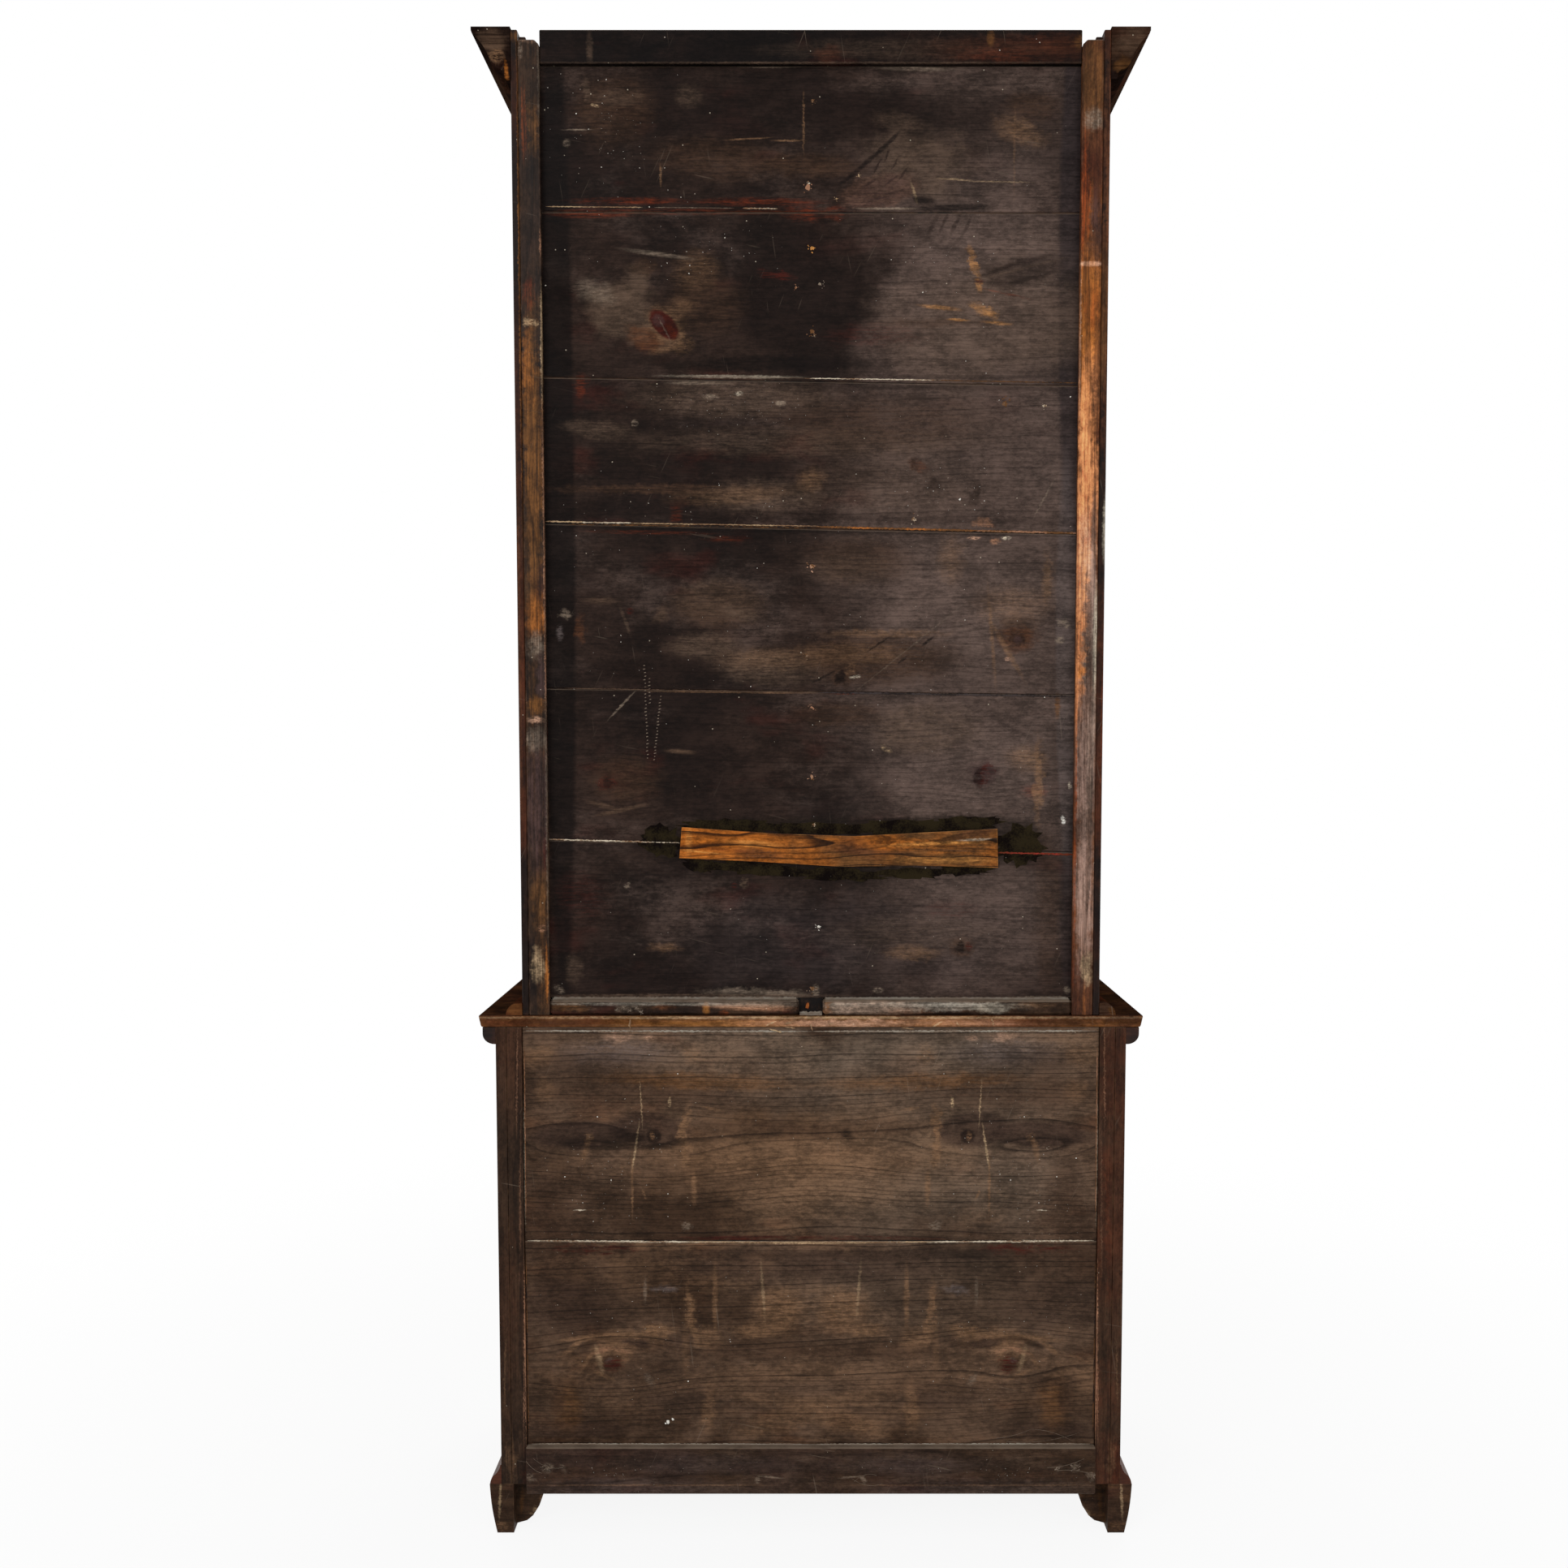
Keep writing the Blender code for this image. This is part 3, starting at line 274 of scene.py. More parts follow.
def make_scratch_group():
    """Thin stray scratches in three directions, gathered in places."""
    tree, given, result = new_group("scratches", {"Point": None, "Amount": 0.5}, ("Mask",))
    point = given["Point"]
    lines = 0.0
    for angle, stretch in ((0.21, 9.0), (-1.15, 11.0), (1.42, 7.0)):
        bent = strayed(tree, turned(tree, point, angle), point, 3.0, 1.0, 0.5, (0.03, 0.03, 0.03), 0.0)
        streak = drawn_noise(tree, bent, stretch, 340.0, 1.0)
        lines = calc(tree, "MAXIMUM", ramp(tree, streak, 0.735, 0.79), lines)
    gathered = ramp(tree, noise(tree, point, 5.0), 0.44, 0.66)
    feed_all(tree, result, Mask=times(tree, times(tree, lines, gathered), given["Amount"]))
    return tree


def make_speck_group():
    """Small pale specks scattered over a face."""
    tree, given, result = new_group("specks", {"Point": None, "Scale": 60.0, "Share": 0.3}, ("Mask",))
    cells = put(tree, "ShaderNodeTexVoronoi", {"Vector": given["Point"], "Scale": given["Scale"]}).outputs
    chosen = put(tree, "ShaderNodeSeparateColor", {"Color": cells["Color"]}).outputs
    size = calc(tree, "MULTIPLY_ADD", chosen[1], 0.055, 0.02)
    there = calc(tree, "LESS_THAN", chosen[0], given["Share"])
    near = calc(tree, "LESS_THAN", cells["Distance"], size)
    feed_all(tree, result, Mask=times(tree, there, near))
    return tree


def make_wear_group():
    """Rubbed edges: where the surface turns within a small radius, broken by noise."""
    tree, given, result = new_group("edge_wear", {"Point": None, "Radius": 0.002, "Broken": 0.5}, ("Mask",))
    rounded = put(tree, "ShaderNodeBevel", {"Radius": given["Radius"]}, samples=4).outputs[0]
    true = put(tree, "ShaderNodeNewGeometry").outputs["Normal"]
    turn = calc(tree, "SUBTRACT", 1.0, vector_calc(tree, "DOT_PRODUCT", rounded, true))
    patchy = ramp(tree, noise(tree, given["Point"], 38.0, 3.0, 0.6), given["Broken"], 0.75)
    feed_all(tree, result, Mask=times(tree, ramp(tree, turn, 0.02, 0.16), patchy))
    return tree


def make_dust_group():
    """Dust that has settled on faces that look up."""
    tree, given, result = new_group("settled_dust", {"Point": None, "Amount": 0.8}, ("Mask",))
    up = height_of(tree, put(tree, "ShaderNodeNewGeometry").outputs["Normal"])
    patchy = ramp(tree, noise(tree, given["Point"], 21.0, 4.0, 0.65), 0.25, 0.62, 0.45, 1.0)
    lying = times(tree, ramp(tree, up, 0.35, 0.85), patchy)
    feed_all(tree, result, Mask=times(tree, lying, given["Amount"]))
    return tree


GRAIN = make_grain_group()
MARK = make_mark_group()
SCRATCHES = make_scratch_group()
SPECKS = make_speck_group()
WEAR = make_wear_group()
DUST = make_dust_group()

# Which way the grain runs: the object's axes in the order along, across, through
GRAIN_ORDER = {"x": ("X", "Z", "Y"), "z": ("Z", "X", "Y"), "y": ("Y", "X", "Z"), "side": ("Z", "Y", "X")}


def new_material(name):
    """A material with its shader, and the object's own coordinates."""
    material = bpy.data.materials.new(name)
    material.use_nodes = True
    tree = material.node_tree
    shader = tree.nodes["Principled BSDF"]
    point = put(tree, "ShaderNodeTexCoord").outputs["Object"]
    return material, tree, shader, point


def along_grain(tree, point, order):
    """The point with its X along the grain."""
    parts = put(tree, "ShaderNodeSeparateXYZ", {"Vector": point}).outputs
    picked = {name: parts[axis] for name, axis in zip("XYZ", GRAIN_ORDER[order])}
    return put(tree, "ShaderNodeCombineXYZ", picked).outputs[0]


def seed_shift(seed):
    """A far-off corner of the noise for each board."""
    draw = random.Random(RANDOM_START + seed)
    return tuple(draw.uniform(-40, 40) for _ in range(3))


def bump(tree, shader, height, strength, distance):
    """A Bump node on the shader's normal."""
    node = put(tree, "ShaderNodeBump", {"Height": height, "Strength": strength, "Distance": distance})
    feed(tree, shader.inputs["Normal"], node.outputs["Normal"])


# Marks less soft than this keep a crisp outline
CRISP = 0.27
# Half sizes in metres: wide shades from BROAD up stray most, and marks below NARROW stray least
BROAD = 0.045
NARROW = 0.006
# Pale marks crumble from HAIRLINE up to CRUMBLING, and larger ones look rubbed
HAIRLINE = 0.003
CRUMBLING = 0.013
# How marks stray from an oval: the noise's scale, detail and roughness, and its reach on the three axes
STRAY = {
    "loose": (7.0, 6.0, 0.62, (0.26, 0.0, 0.20)),
    "rough": (62.0, 4.0, 0.68, (0.036, 0.0, 0.024)),
    "fine": (260.0, 2.0, 0.6, (0.006, 0.0, 0.0028)),
}


def lay_marks(tree, point, fibre, base, marks, face, deep):
    """Lays marks over the base colour on a face, no deeper than a reach. Each gives its x, z, half length,
    half height, tilt, tone, strength and softness."""
    points = {name: strayed(tree, point, point, *how) for name, how in STRAY.items()}
    strokes = drawn_noise(tree, point, 150.0, 420.0, 4.0, 0.74)
    mixed = calc(tree, "MULTIPLY_ADD", strokes, 0.5, times(tree, fibre, 0.5))
    breaks = {
        "whole": 1.0,
        "torn": ramp(tree, fibre, 0.36, 0.60, 0.45, 1.0),
        "frayed": ramp(tree, fibre, 0.42, 0.58, 0.10, 1.0),
        "crumbly": ramp(tree, strokes, 0.40, 0.58, 0.04, 1.0),
        "rubbed": ramp(tree, mixed, 0.40, 0.60, 0.35, 1.0),
    }
    for x, z, half, tall, tilt, name, strength, softness in marks:
        least, size = sorted((half, tall))
        crisp, broad = softness < CRISP, least > BROAD
        stray = "loose" if broad else "fine" if crisp or least < NARROW else "rough"
        if crisp or broad:
            edge = "whole"
        elif name in PALE and size > HAIRLINE:
            edge = "crumbly" if size < CRUMBLING else "rubbed"
        else:
            edge = "frayed" if name in RED else "torn"
        mask = use(tree, MARK, Point=points[stray], Centre=(x, face, z), Half_Size=(half, deep, tall),
                   Tilt=math.radians(tilt), Softness=softness, Broken=breaks[edge])["Mask"]
        base = blend(tree, times(tree, mask, strength), base, tone(name))
    return base


def places(column, mirrored):
    """A column of the photograph, and its mirror image where the photograph repeats it."""
    return (column, 2 * CENTRE_COLUMN - column) if mirrored else (column,)


# A mark is laid on a board that lies within these shares of its half sizes, with a margin upwards
REACH_ALONG = 1.2
REACH_UP = 1.4
REACH_MARGIN = 0.012


def photo_marks(rows, y, box, mirrored=False):
    """Marks read off the photograph, put on the plane at depth y where they reach into a box."""
    low, high = box
    found = []
    for column, row, half, tall, tilt, *rest in rows:
        half, tall = half * PIXEL, tall * PIXEL
        reach_x, reach_z = half * REACH_ALONG, tall * REACH_UP + REACH_MARGIN
        for side, place in enumerate(places(column, mirrored)):
            x, z = seen_at(place, row, y)
            if low.x - reach_x < x < high.x + reach_x and low.z - reach_z < z < high.z + reach_z:
                found.append((x, z, half, tall, -tilt if side else tilt, *rest))
    return found


def knots_on(rows, y, mirrored=False):
    """Knots read off the photograph, put on the plane at depth y."""
    return [(*seen_at(place, row, y), wide * PIXEL, high * PIXEL)
            for column, row, wide, high in rows for place in places(column, mirrored)]


# How hard a knot pushes the growth rings aside, as a share of its reach across the board
KNOT_PUSH = 0.85


def bow_at(tree, point, knots):
    """How far knots push the growth rings aside. Each is an x, a z, a reach along and a reach across."""
    bow = 0.0
    for x, z, wide, high in knots:
        offset = vector_calc(tree, "MULTIPLY", vector_calc(tree, "SUBTRACT", point, (x, 0.0, z)),
                             (1 / wide, 0.0, 1 / high))
        reach = vector_calc(tree, "DOT_PRODUCT", offset, offset)
        fade = calc(tree, "EXPONENT", times(tree, reach, -1.0))
        push = times(tree, height_of(tree, offset), fade)
        bow = calc(tree, "MULTIPLY_ADD", push, -KNOT_PUSH * high, bow)
    return bow


def board_material(name, seed, order, tones, spacing, marks=(), pith_depth=0.05, waver=0.03, late_dark=0.5,
                   patches=0.5, scratches=0.35, specks=0.2, roughness=(0.5, 0.72), wear="tan",
                   wear_share=0.35, dust=0.5, relief=0.35, gloss=0.0, shine=0.06, streaky=4.0,
                   fibres=0.55, crumbs=0.75, tint="oxblood", short=0.6, pith_drop=-0.01, knots=(),
                   deep=0.006, dirt="ash"):
    """An old board: growth rings, worn patches, placed marks, scratches, specks, rubbed edges and dust."""
    material, tree, shader, point = new_material(name)
    dark, middle, light = (tone(shade) for shade in tones)
    low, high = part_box(name)
    centre = dict(zip("XYZ", (low + high) / 2))
    along, across, through = (centre[axis] for axis in GRAIN_ORDER[order])
    shifted = along_grain(tree, point, order)
    grain = use(tree, GRAIN, Point=shifted, Pith=(along, across - pith_drop, through - pith_depth),
                Spacing=spacing, Waver=waver, Seed=seed_shift(seed), Bow=bow_at(tree, point, knots),
                Short=short)
    clouds = []
    for step, *shape in ((500, 4.0, 4.0, 7.0, 0.64), (900, 4.0, 4.0 * streaky, 5.0, 0.66),
                         (700, 6.0, 14.0, 3.0, 0.6)):
        moved = vector_calc(tree, "ADD", shifted, seed_shift(seed + step))
        clouds.append(drawn_noise(tree, moved, *shape))
    cloud, drawn, tinted = clouds
    base = blend(tree, ramp(tree, cloud, 0.40, 0.60), dark, middle)
    worn = times(tree, ramp(tree, drawn, 0.48, 0.68), patches)
    worn = times(tree, worn, ramp(tree, grain["Grit"], 0.38, 0.60, 0.35, 1.0))
    base = blend(tree, worn, base, light)
    base = blend(tree, ramp(tree, tinted, 0.56, 0.74, 0.0, 0.45), base, tone(tint))
    base = lay_marks(tree, point, grain["Fibre"], base, marks, high.y, deep)
    base = blend(tree, times(tree, grain["Late"], late_dark), base, tone("black"))
    for value, share, edge, weak in ((grain["Fibre"], fibres, 0.32, 0.26),
                                     (grain["Grit"], crumbs, 0.39, 0.22)):
        level = ramp(tree, value, edge, 1 - edge, weak, 1 - weak)
        grey = put(tree, "ShaderNodeCombineColor", {i: level for i in range(3)}).outputs[0]
        base = blend(tree, share, base, grey, "OVERLAY")
    scratch = use(tree, SCRATCHES, Point=point, Amount=scratches)["Mask"]
    speck = use(tree, SPECKS, Point=point, Scale=75.0, Share=specks)["Mask"]
    rub = use(tree, WEAR, Point=point, Radius=0.0022, Broken=0.42)["Mask"]
    dusty = use(tree, DUST, Point=point, Amount=dust)["Mask"]
    for share, name_of_tone in ((scratch, "ash"), (times(tree, speck, 0.6), "glint"),
                                (times(tree, rub, wear_share), wear), (dusty, dirt)):
        base = blend(tree, share, base, tone(name_of_tone))
    matt = ramp(tree, cloud, 0.3, 0.7, *roughness)
    matt = calc(tree, "ADD", matt, times(tree, dusty, 0.3), clamp=True)
    feed_all(tree, shader, Base_Color=base, Roughness=matt, Specular_IOR_Level=shine, Coat_Weight=gloss,
             Coat_Roughness=0.28)
    height = calc(tree, "MULTIPLY_ADD", grain["Late"], 0.6, grain["Fibre"])
    height = calc(tree, "MULTIPLY_ADD", cloud, 1.5, calc(tree, "MULTIPLY_ADD", grain["Grit"], 0.5, height))
    bump(tree, shader, height, relief, 0.0012)
    return material


def finish(name, material):
    """Gives a CAD node its material."""
    node = NODES[name]
    node.data.materials.clear()
    node.data.materials.append(material)


def dress(names, seed, order, tones, spacing, *tables, **looks):
    """Gives each board of a row a material of its own. A table of marks comes with its plane, and with True
    where it is mirrored."""
    for number, name in enumerate(names):
        marks = []
        for rows, y, mirrored in tables:
            marks += photo_marks(rows, y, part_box(name), mirrored)
        finish(name, board_material(name, seed + number, order, tones, spacing, marks, **looks))


def both(name):
    """The names of a left and a right node."""
    return (name + "_left", name + "_right")


# The upper back boards: column, row, half width, half height (pixels), tilt, tone, strength and softness
UPPER_MARKS = (
    # painted light that lightens the right half, the dark bands beside the stiles, and the stain in the
    # middle
    (1200, 660, 150, 540, 0, "taupe", 0.62, 0.45),
    (1205, 360, 92, 84, -8, "taupe", 0.70, 0.35),
    (1200, 745, 110, 66, 4, "taupe", 0.62, 0.40),
    (1190, 940, 105, 56, -3, "taupe", 0.60, 0.40),
    (1230, 1130, 74, 70, 0, "taupe", 0.50, 0.50),
    (1040, 1160, 200, 50, 0, "lead", 0.35, 0.50),
    (1140, 150, 170, 40, 5, "stain", 0.45, 0.50),
    (688, 620, 20, 640, 0, "black", 0.80, 0.16),
    (1322, 320, 17, 330, 0, "night", 0.75, 0.20),
    (1316, 830, 15, 250, -1, "steel", 0.34, 0.16),
    (1320, 1120, 14, 120, 0, "night", 0.50, 0.25),
    (1000, 372, 100, 88, 4, "stain", 0.95, 0.28),
    (930, 300, 60, 40, 20, "stain", 0.80, 0.40),
    (960, 140, 240, 42, -3, "stain", 0.85, 0.35),
    # worn grey, brown and tan areas
    (757, 372, 46, 38, 8, "smoke", 0.75, 0.35),
    (734, 361, 22, 12, 18, "ash", 0.50, 0.6),
    (755, 135, 44, 36, 0, "umber", 0.75, 0.45),
    (760, 120, 26, 10, 0, "smoke", 0.45, 0.6),
    (850, 118, 14, 12, 0, "smoke", 0.50, 0.6),
    (885, 196, 70, 22, 6, "umber", 0.70, 0.5),
    (858, 336, 22, 20, -30, "tan", 0.42, 0.7),
    (842, 377, 12, 10, 0, "tan", 0.60, 0.8),
    (868, 375, 40, 34, 0, "umber", 0.60, 0.5),
    (818, 430, 15, 4, -12, "tan", 0.60, 0.8),
    (841, 424, 10, 9, -30, "tan", 0.50, 0.8),
    (794, 416, 22, 13, 24, "sienna", 0.75, 0.35),
    (793, 330, 14, 10, 0, "umber", 0.75, 0.5),
    (810, 313, 36, 2.5, 8, "ash", 0.55, 0.6),
    (716, 476, 7, 13, 6, "brick", 0.55, 0.5),
    (1130, 84, 44, 3.0, 1, "ash", 0.60, 0.6),
    (950, 82, 30, 1.6, 0, "ash", 0.55, 0.6),
    (1140, 200, 54, 50, 0, "smoke", 0.55, 0.4),
    (1108, 150, 30, 10, 10, "smoke", 0.40, 0.5),
    (995, 204, 58, 13, 3, "umber", 0.85, 0.45),
    (1083, 236, 44, 18, -12, "clay", 0.30, 0.30),
    (1098, 214, 32, 16, -40, "smoke", 0.45, 0.30),
    (1100, 171, 12, 2.4, -44, "black", 0.85, 0.5),
    (1086, 184, 12, 3.0, -42, "black", 0.90, 0.5),
    (1070, 198, 14, 3.0, -41, "black", 0.90, 0.5),
    (1054, 212, 13, 2.6, -40, "black", 0.85, 0.5),
    (1040, 223, 10, 2.2, -34, "black", 0.80, 0.5),
    (1093, 191, 8, 1.5, -70, "stain", 0.85, 0.5),
    (1081, 205, 9, 1.4, -62, "stain", 0.85, 0.5),
    (1103, 201, 8, 1.4, -62, "stain", 0.80, 0.5),
    (1113, 214, 8, 1.4, -56, "stain", 0.80, 0.5),
    (1097, 223, 10, 1.4, -36, "stain", 0.75, 0.5),
    (1074, 224, 10, 1.4, -30, "stain", 0.75, 0.5),
    (1104, 236, 12, 1.4, -12, "stain", 0.70, 0.5),
    (1082, 244, 14, 1.4, -8, "stain", 0.70, 0.5),
    (1126, 236, 1.3, 12, -18, "straw", 0.75, 0.6),
    (1138, 246, 11, 6, 0, "black", 0.90, 0.4),
    (1250, 392, 130, 66, 0, "smoke", 0.45, 0.5),
    (1256, 162, 26, 12, 20, "tan", 0.60, 0.7),
    (1272, 130, 30, 16, 0, "umber", 0.70, 0.5),
    (1176, 221, 17, 0.9, 3, "straw", 0.55, 0.6),
    (1229, 224, 34, 0.8, 1, "straw", 0.40, 0.6),
    (1258, 334, 52, 16, -14, "stain", 0.60, 0.35),
    (1262, 330, 44, 1.6, -14, "smoke", 0.50, 0.5),
    (1199, 323, 5, 17, -16, "honey", 0.40, 0.5),
    (1206, 350, 4, 9, -10, "honey", 0.32, 0.5),
    (1207, 346, 5, 3, 10, "oxblood", 0.90, 0.5),
    (1213, 383, 16, 6, 22, "honey", 0.44, 0.5),
    (1158, 379, 21, 2.4, 6, "honey", 0.40, 0.6),
    (1180, 394, 12, 1.4, 3, "honey", 0.50, 0.5),
    (1228, 398, 16, 2.0, 5, "honey", 0.36, 0.5),
    (957, 339, 20, 5, 8, "oxblood", 0.95, 0.5),
    (1029, 262, 13, 8, 0, "brick", 0.60, 0.6),
    (733, 130, 5, 1.8, 12, "straw", 0.95, 0.4),
    (722, 110, 5, 14, -8, "smoke", 0.80, 0.5),
    (711, 160, 16, 1.0, 0, "ash", 0.80, 0.5),
    (698, 176, 4, 4, 40, "ash", 0.70, 0.6),
    (814, 217, 1.3, 11, -2, "tan", 0.80, 0.6),
    (990, 152, 1.1, 30, 0, "tan", 0.65, 0.6),
    (922, 171, 21, 1.0, -3, "tan", 0.85, 0.6),
    (972, 173, 17, 1.0, 0, "tan", 0.85, 0.6),
    (1250, 186, 1.0, 42, 0, "tan", 0.40, 0.7),
    # the first seam: red worn edges at the left, a black gap at the right
    (777, 248, 56, 3.6, 0, "brick", 0.80, 0.7),
    (936, 249, 62, 4.2, 0, "brick", 0.75, 0.7),
    (733, 263, 44, 4.6, 0, "brick", 0.70, 0.7),
    (872, 261, 118, 3.0, 0, "brick", 0.60, 0.7),
    (992, 262, 20, 8, 0, "brick", 0.70, 0.7),
    (1093, 257, 36, 1.2, 0, "ash", 0.95, 0.4),
    (1172, 256, 48, 4.0, -2, "black", 0.95, 0.4),
    # dark feathered strokes beside the first seam
    (1085, 236, 44, 17, -16, "plum", 0.60, 0.35),
    (1150, 276, 2.4, 14, 26, "stain", 0.60, 0.6),
    (1163, 274, 2.0, 13, 24, "stain", 0.65, 0.6),
    (1177, 277, 2.2, 14, 26, "stain", 0.60, 0.6),
    (1192, 278, 2.0, 13, 28, "stain", 0.55, 0.6),
    (1236, 330, 30, 2.6, -22, "stain", 0.55, 0.6),
    (1266, 322, 34, 2.6, -16, "stain", 0.50, 0.6),
    (1272, 342, 28, 2.2, -12, "stain", 0.50, 0.6),
    (1240, 362, 26, 1.4, 12, "brick", 0.45, 0.6),
    (1150, 398, 60, 5, 0, "umber", 0.60, 0.6),
    (1080, 414, 50, 12, 0, "oxblood", 0.45, 0.6),
    # the second seam and the pale wear under it
    (950, 448, 130, 9, 0, "black", 0.85, 0.4),
    (900, 464, 66, 1.6, 0.5, "glint", 0.60, 0.6),
    (860, 472, 34, 2.0, 0.5, "ash", 0.90, 0.5),
    (905, 490, 110, 22, 0, "smoke", 0.65, 0.45),
    (875, 489, 9, 3, 4, "ash", 0.80, 0.5),
    (962, 497, 6, 3.6, 0, "ash", 0.95, 0.4),
    (910, 485, 5, 2.5, 0, "glint", 0.60, 0.5),
    (782, 521, 4, 4, 0, "ash", 0.75, 0.3),
    (740, 530, 40, 10, 6, "smoke", 0.65, 0.5),
    (990, 545, 190, 16, 0, "smoke", 0.50, 0.5),
    (1180, 464, 150, 2.2, 0.4, "black", 0.40, 0.5),
    (1180, 478, 150, 3.0, 0.4, "stain", 0.50, 0.5),
    (1090, 520, 120, 30, 0, "umber", 0.60, 0.6),
    # the third board down
    (845, 603, 145, 6, 0, "umber", 0.85, 0.4),
    (940, 612, 72, 20, 0, "smoke", 0.60, 0.35),
    (900, 612, 60, 9, -3, "tan", 0.35, 0.6),
    (765, 624, 64, 9, 0, "stain", 0.90, 0.4),
    (833, 635, 7, 10, 0, "brick", 0.55, 0.7),
    (999, 592, 15, 12, -30, "tan", 0.55, 0.6),
    (1131, 574, 12, 7, 30, "russet", 0.80, 0.5),
    (1127, 570, 5, 8, 10, "black", 0.70, 0.5),
    (1150, 595, 8, 8, 40, "stain", 0.80, 0.6),
    (1203, 609, 6, 14, 16, "stain", 0.80, 0.6),
    (1110, 600, 90, 36, 0, "smoke", 0.35, 0.6),
    (1212, 645, 11, 5, 0, "clay", 0.90, 0.4),
    (1226, 667, 6, 3.5, 0, "clay", 0.85, 0.5),
    (1240, 663, 5, 2.2, 0, "glint", 0.90, 0.5),
    (1200, 663, 7, 1.8, 0, "blush", 0.70, 0.5),
    (1286, 615, 24, 1.0, -62, "ash", 0.45, 0.6),
    # beside the third seam
    (1000, 637, 330, 6.0, 1.1, "stain", 0.55, 0.6),
    (1000, 655, 330, 1.6, 1.1, "black", 0.70, 0.5),
    (800, 656, 60, 2.0, 1, "brick", 0.50, 0.7),
    (896, 664, 22, 3.0, 0, "brick", 0.45, 0.7),
    # the fourth board down
    (884, 745, 52, 27, 0, "umber", 0.90, 0.4),
    (886, 740, 50, 24, 0, "smoke", 0.40, 0.5),
    (915, 757, 22, 6, 12, "smoke", 0.60, 0.6),
    (868, 795, 40, 14, -4, "smoke", 0.80, 0.5),
    (945, 822, 62, 20, 4, "smoke", 0.75, 0.5),
    (960, 812, 60, 12, 0, "tan", 0.30, 0.6),
    (806, 830, 84, 20, 0, "stain", 0.90, 0.3),
    (814, 757, 8, 9, 60, "nut", 0.60, 0.7),
    (770, 764, 2, 17, -20, "smoke", 0.60, 0.6),
    (776, 753, 4, 4, 0, "oxblood", 0.90, 0.5),
    (697, 757, 5, 6, 0, "ash", 0.60, 0.6),
    (690, 780, 4, 8, 0, "steel", 0.70, 0.6),
    (715, 775, 5, 14, 0, "sienna", 0.60, 0.6),
    (741, 740, 18, 4, 0, "nut", 0.50, 0.7),
    (1060, 690, 60, 26, 0, "umber", 0.70, 0.5),
    (1050, 700, 50, 18, 0, "smoke", 0.40, 0.6),
    (1172, 690, 14, 24, 0, "tan", 0.40, 0.6),
    (1090, 781, 62, 5.0, 0, "tan", 0.60, 0.6),
    (1086, 812, 88, 28, 0, "umber", 0.85, 0.4),
    (1050, 806, 60, 12, 0, "tan", 0.40, 0.6),
    (1254, 776, 26, 18, 0, "umber", 0.80, 0.5),
    (1248, 745, 40, 20, 0, "tan", 0.35, 0.6),
    (1253, 788, 22, 15, 0, "sienna", 0.65, 0.4),
    (1254, 788, 9.0, 8.5, 0, "stain", 0.85, 0.35),
    (1254, 788, 5.0, 4.6, 0, "plum", 0.80, 0.5),
    (1222, 782, 2.0, 50, -5, "tan", 0.60, 0.7),
    (1240, 800, 3.2, 34, -30, "tan", 0.60, 0.6),
    (1241, 812, 3.4, 2.0, 0, "blush", 0.60, 0.5),
    (1290, 715, 5, 28, 0, "tan", 0.55, 0.6),
    (1312, 767, 6, 5, 0, "ash", 0.85, 0.6),
    (1306, 789, 5, 4, 0, "ash", 0.80, 0.6),
    (1036, 835, 13, 10, 0, "umber", 0.60, 0.4),
    (1036, 835, 7, 7, 0, "black", 0.95, 0.3),
    (1054, 834, 6, 2, -10, "glint", 0.90, 0.5),
    (1048, 825, 7, 6, 0, "tan", 0.60, 0.6),
    (1122, 797, 84, 0.9, -39, "ash", 0.30, 0.5),
    (1112, 813, 7, 1.6, -39, "black", 0.95, 0.5),
    (1143, 790, 8, 1.6, -39, "black", 0.95, 0.5),
    (1082, 794, 18, 1.2, -33, "black", 0.85, 0.5),
    (1015, 834, 16, 1.4, -27, "black", 0.85, 0.5),
    # the fourth seam and the board below it
    (905, 853, 90, 0.9, 0.6, "tan", 0.70, 0.6),
    (1165, 857, 170, 0.9, 0.6, "black", 0.30, 0.5),
    (1038, 854, 18, 1.4, 0, "brick", 0.90, 0.5),
    (766, 869, 22, 1.2, -46, "ash", 0.75, 0.5),
    (1303, 870, 3, 14, 0, "umbel", 0.80, 0.6),
    (1140, 898, 62, 30, 0, "smoke", 0.70, 0.4),
    (1030, 880, 50, 14, 0, "umber", 0.70, 0.5),
    (1092, 923, 6, 3, 30, "straw", 0.70, 0.5),
    (838, 926, 15, 2.4, 4, "nut", 0.70, 0.7),
    (770, 960, 40, 26, 0, "umber", 0.75, 0.5),
    (748, 965, 10, 10, 0, "oxblood", 0.75, 0.3),
    (748, 965, 5, 6, 0, "black", 0.70, 0.5),
    (766, 998, 26, 2.6, -12, "nut", 0.80, 0.6),
    (742, 992, 16, 3, 16, "nut", 0.60, 0.7),
    (1213, 953, 18, 17, 0, "plum", 0.80, 0.4),
    (1209, 957, 7, 12, 14, "oxblood", 0.95, 0.30),
    (1219, 947, 8, 7, -20, "oxblood", 0.95, 0.30),
    (1205, 956, 5, 9, 10, "black", 0.80, 0.5),
    (1219, 950, 5, 8, 0, "plum", 0.80, 0.5),
    (1274, 974, 15, 8, 0, "brick", 0.40, 0.6),
    (1279, 965, 5, 46, 0, "tan", 0.75, 0.6),
    (1265, 935, 22, 14, 10, "tan", 0.50, 0.6),
    (1310, 1010, 2.4, 5, -10, "white", 0.90, 0.4),
    (1318, 968, 2, 4, 0, "glint", 0.80, 0.5),
    # the fifth seam, with glue about the strip
    (816, 1037, 26, 21, 0, "pitch", 0.92, 0.30),
